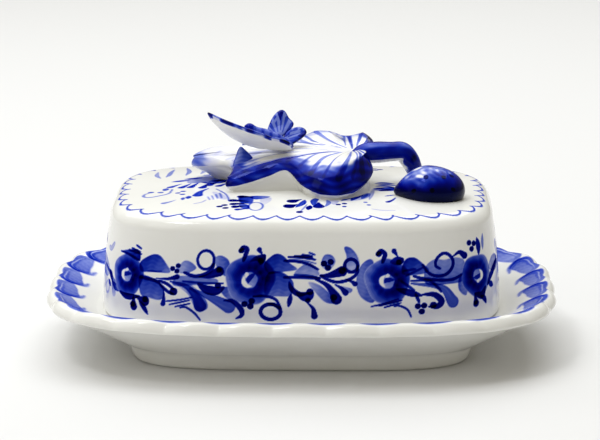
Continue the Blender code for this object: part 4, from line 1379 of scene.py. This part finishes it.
def ladybug_paint(points, place, half_width):
    """Paint of the ladybug: painted shade, near black, at its foot, a streaked painted highlight on
    top, with a seam and spots.
    """
    along, across, rise = (points - place).T
    canvas = Canvas(along, half_width * np.arctan2(across, rise + 1.0))
    x, y, z = points.T
    cloud = grain(0.25 * x + 1.0, 0.3 * y - 0.3 * z)
    patch = grain(0.4 * y + 0.5 * z, 0.35 * x + 0.3 * y)
    # Painted highlight: lit thins the paint over the top, towards the head, in patches
    lit = step_between(3.2, 11.5, rise - 0.25 * along)
    # Painted shade: near black at the foot, paler higher up
    canvas.tone += 2.6 - 1.2 * step_between(1.5, 8.0, rise) + 0.2 * cloud
    canvas.tone -= (1.05 + 0.6 * patch * cloud) * lit
    canvas.stroke(((-8.0, 1.2), (0.0, 0.6), (13.0, 1.0)), 0.35, 0.8, "line")
    for side in (-1.0, 1.0):
        canvas.dots([(a, side * b) for a, b in BUG_SPOTS], 0.8, 1.4)
    return canvas.tone


# Edges of the butterfly's wings
WINGS = {
    "butterfly_near_forewing": (
        (-37.8, -1.2, 94.4), (-32.3, 1.0, 87.6), (-25.5, 2.2, 83.0), (-21.5, 2.8, 81.0),
        (-15.0, 3.0, 79.8), (-10.5, 1.0, 80.2), (-10.0, -6.8, 85.2), (-13.6, -8.2, 86.9),
        (-18.6, -8.2, 88.5), (-26.7, -6.6, 91.2), (-34.0, -3.8, 93.9),
    ),
    "butterfly_near_hindwing": (
        (-15.0, -6.8, 86.2), (-10.0, -8.4, 85.7), (-6.0, -7.9, 84.3), (-3.4, -5.6, 82.4),
        (-4.0, -1.8, 80.6), (-8.0, 2.0, 79.4), (-14.0, 2.2, 79.6), (-16.0, -2.5, 82.6),
    ),
    "butterfly_far_forewing": (
        (-14.0, 7.6, 85.0), (-13.2, 10.6, 88.4), (-11.4, 13.0, 91.2), (-9.0, 14.6, 92.8),
        (-7.2, 14.8, 92.2), (-5.6, 14.4, 89.6), (-3.6, 13.0, 87.2), (-6.0, 9.0, 84.6),
        (-10.6, 4.6, 82.6),
    ),
    "butterfly_far_hindwing": (
        (-8.0, 5.0, 82.0), (-6.2, 8.4, 85.0), (-2.8, 11.0, 86.3), (0.3, 11.4, 86.0),
        (1.7, 10.2, 84.4), (0.0, 7.6, 82.8), (-5.0, 4.0, 80.6),
    ),
}
WING_THICKNESS = 2.4
WING_CUP = -0.2
WING_STROKES = 9
NEAR_ROOT = (-10.0, 2.5)        # where the near wings' strokes start, in plan
FAR_ROOT = (-9.0, 82.5)         # where the far wings' strokes start, from the front

# Middle of the butterfly's body, head first: x, y, z, radius
BUTTERFLY_BODY = (
    (-23.2, 3.4, 88.0, 0.7),
    (-21.4, 3.4, 87.8, 1.9),
    (-18.8, 3.4, 86.6, 1.7),
    (-15.0, 3.3, 84.9, 2.5),
    (-10.5, 3.2, 83.0, 2.6),
    (-6.0, 3.2, 81.2, 1.7),
    (-3.6, 3.2, 80.6, 0.6),
)


def make_butterfly_body():
    """Plump striped body with a dark head."""
    body = tube("butterfly_body_glazed", BUTTERFLY_BODY, 96, 60)
    along = points_of(body)[:, 0] - BUTTERFLY_BODY[0][0]
    stripes = 0.35 * step_between(0.2, 0.9, np.sin(1.9 * along)) * step_between(4.0, 5.0, along)
    head = 0.55 * (1.0 - step_between(3.0, 4.2, along))
    wear(body, 0.45 + stripes + head, RELIEF_GLAZE, "lid", "painted_relief", "butterfly_body")


def make_wings():
    """Four raised wings: the two near ones share one curved sheet, the far ones stand up."""
    near = sheet_through(WINGS["butterfly_near_forewing"] + WINGS["butterfly_near_hindwing"])
    for name, edge in WINGS.items():
        upright = "far" in name
        wing, level = pillow(
            name + "_glazed", edge, WING_THICKNESS, WING_CUP, sheet=None if upright else near,
        )
        x, y, z = points_of(wing).T
        canvas = Canvas(x, z if upright else y)
        paint_wing(canvas, np.array(edge), upright)
        tone = (canvas.tone + 0.32) * (1.0 - step_between(1.0, 1.02, level))
        rim = step_between(0.86, 0.95, level) * (1.0 - step_between(1.06, 1.12, level))
        patches = step_between(-0.3, 0.5, grain(0.42 * x + 0.6, 0.42 * y))
        tone += rim * (0.1 + 1.3 * patches)
        wear(wing, tone, RELIEF_GLAZE, "lid", "painted_relief", name)


def paint_wing(canvas, edge, upright):
    """Strokes from the wing's root to its edge, a dark tip, and a row of beads if it is upright."""
    flat = edge[:, (0, 2)] if upright else edge[:, :2]
    root = np.array(FAR_ROOT if upright else NEAR_ROOT)
    for spot in even_loop(flat, WING_STROKES):
        arm = spot - root
        canvas.stroke((root + 0.35 * arm, root + 0.65 * arm, root + 0.92 * arm), 0.7, 0.4, "comma")
    if upright:
        middle = flat.mean(0)
        for share in np.linspace(0.15, 0.85, 6):
            bead = middle + 0.72 * (flat[1] + share * (flat[3] - flat[1]) - middle)
            canvas.stroke((bead - 0.1, bead + 0.1), 0.5, 1.0, "band", lift=True)
    far = flat[np.argmax(np.hypot(*(flat - root).T))]
    canvas.stroke((root + 0.7 * (far - root), far), 1.5, 0.9, "comma")


# ---------------------------------------------------------------- studio

# Lights: name, place and aim and size in metres, power in watts, colour
LIGHTS = (
    ("overhead", (-0.16, 0.45, 1.25), (0.0, 0.0, 0.03), (2.0, 1.5), 25.6, (0.955, 0.98, 1.0)),
    ("left_fill", (-1.0, -0.9, 1.0), (0.0, 0.0, 0.03), (0.8, 0.8), 3.2, WHITE),
    ("glint", (-0.35, -0.35, 0.9), (0.0, 0.0, 0.07), (0.2, 0.2), 1.6, WHITE),
)
ROOM_COLOUR = (1.0, 0.93, 0.77, 1.0)
ROOM_STRENGTH = 0.3
FLOOR_REACH = 6.0
FLOOR_COLOUR = (0.745, 0.745, 0.745, 1.0)
CAMERA_PLACE = (0.0203, -1.1138, 0.321)
CAMERA_AIM = (-0.0008, 0.0, 0.0505)
CAMERA_LENS = 170.2
CAMERA_SENSOR = 36.0


def make_floor():
    """Plain pale floor."""
    mesh = bpy.data.meshes.new("floor")
    signs = [(-1, -1), (1, -1), (1, 1), (-1, 1)]
    corners = [(FLOOR_REACH * x, FLOOR_REACH * y, 0.0) for x, y in signs]
    mesh.from_pydata(corners, [], [(0, 1, 2, 3)])
    floor = bpy.data.objects.new("floor", mesh)
    bpy.context.scene.collection.objects.link(floor)
    material = bpy.data.materials.new("floor_paper")
    material.use_nodes = True
    shader = material.node_tree.nodes["Principled BSDF"]
    shader.inputs["Base Color"].default_value = FLOOR_COLOUR
    shader.inputs["Roughness"].default_value = 0.7
    floor.data.materials.append(material)


def aimed(name, data, place, aim):
    """Object for a light or a camera, turned to look at a spot."""
    item = bpy.data.objects.new(name, data)
    item.location = place
    item.rotation_euler = (Vector(aim) - item.location).to_track_quat("-Z", "Y").to_euler()
    bpy.context.scene.collection.objects.link(item)
    return item


def make_studio():
    """Large soft light overhead, a fill from the left, a small one for glints, and a warm room."""
    for name, place, aim, size, power, colour in LIGHTS:
        lamp = bpy.data.lights.new(name, "AREA")
        lamp.shape = "RECTANGLE"
        lamp.size, lamp.size_y = size
        lamp.energy = power
        lamp.color = colour
        aimed(name, lamp, place, aim)
    world = bpy.data.worlds.new("studio")
    world.use_nodes = True
    background = world.node_tree.nodes["Background"]
    background.inputs["Color"].default_value = ROOM_COLOUR
    background.inputs["Strength"].default_value = ROOM_STRENGTH
    bpy.context.scene.world = world
    bpy.context.scene.view_settings.view_transform = "Standard"


def make_camera():
    """Long lens, a little above the dish."""
    lens = bpy.data.cameras.new("camera")
    lens.lens = CAMERA_LENS
    lens.sensor_width = CAMERA_SENSOR
    bpy.context.scene.camera = aimed("camera", lens, CAMERA_PLACE, CAMERA_AIM)


# Glazes, each with the gloss that is left over thick cobalt
GLAZE = glaze("white_glaze", 0.0)
RELIEF_GLAZE = glaze("relief_glaze", 0.26)
COBALT_GLAZE = glaze("cobalt_glaze_coat", 0.22)
make_plate()
make_lid()
make_leaf()
make_stem()
make_tip()
make_ladybug()
make_butterfly_body()
make_wings()
make_floor()
make_studio()
make_camera()
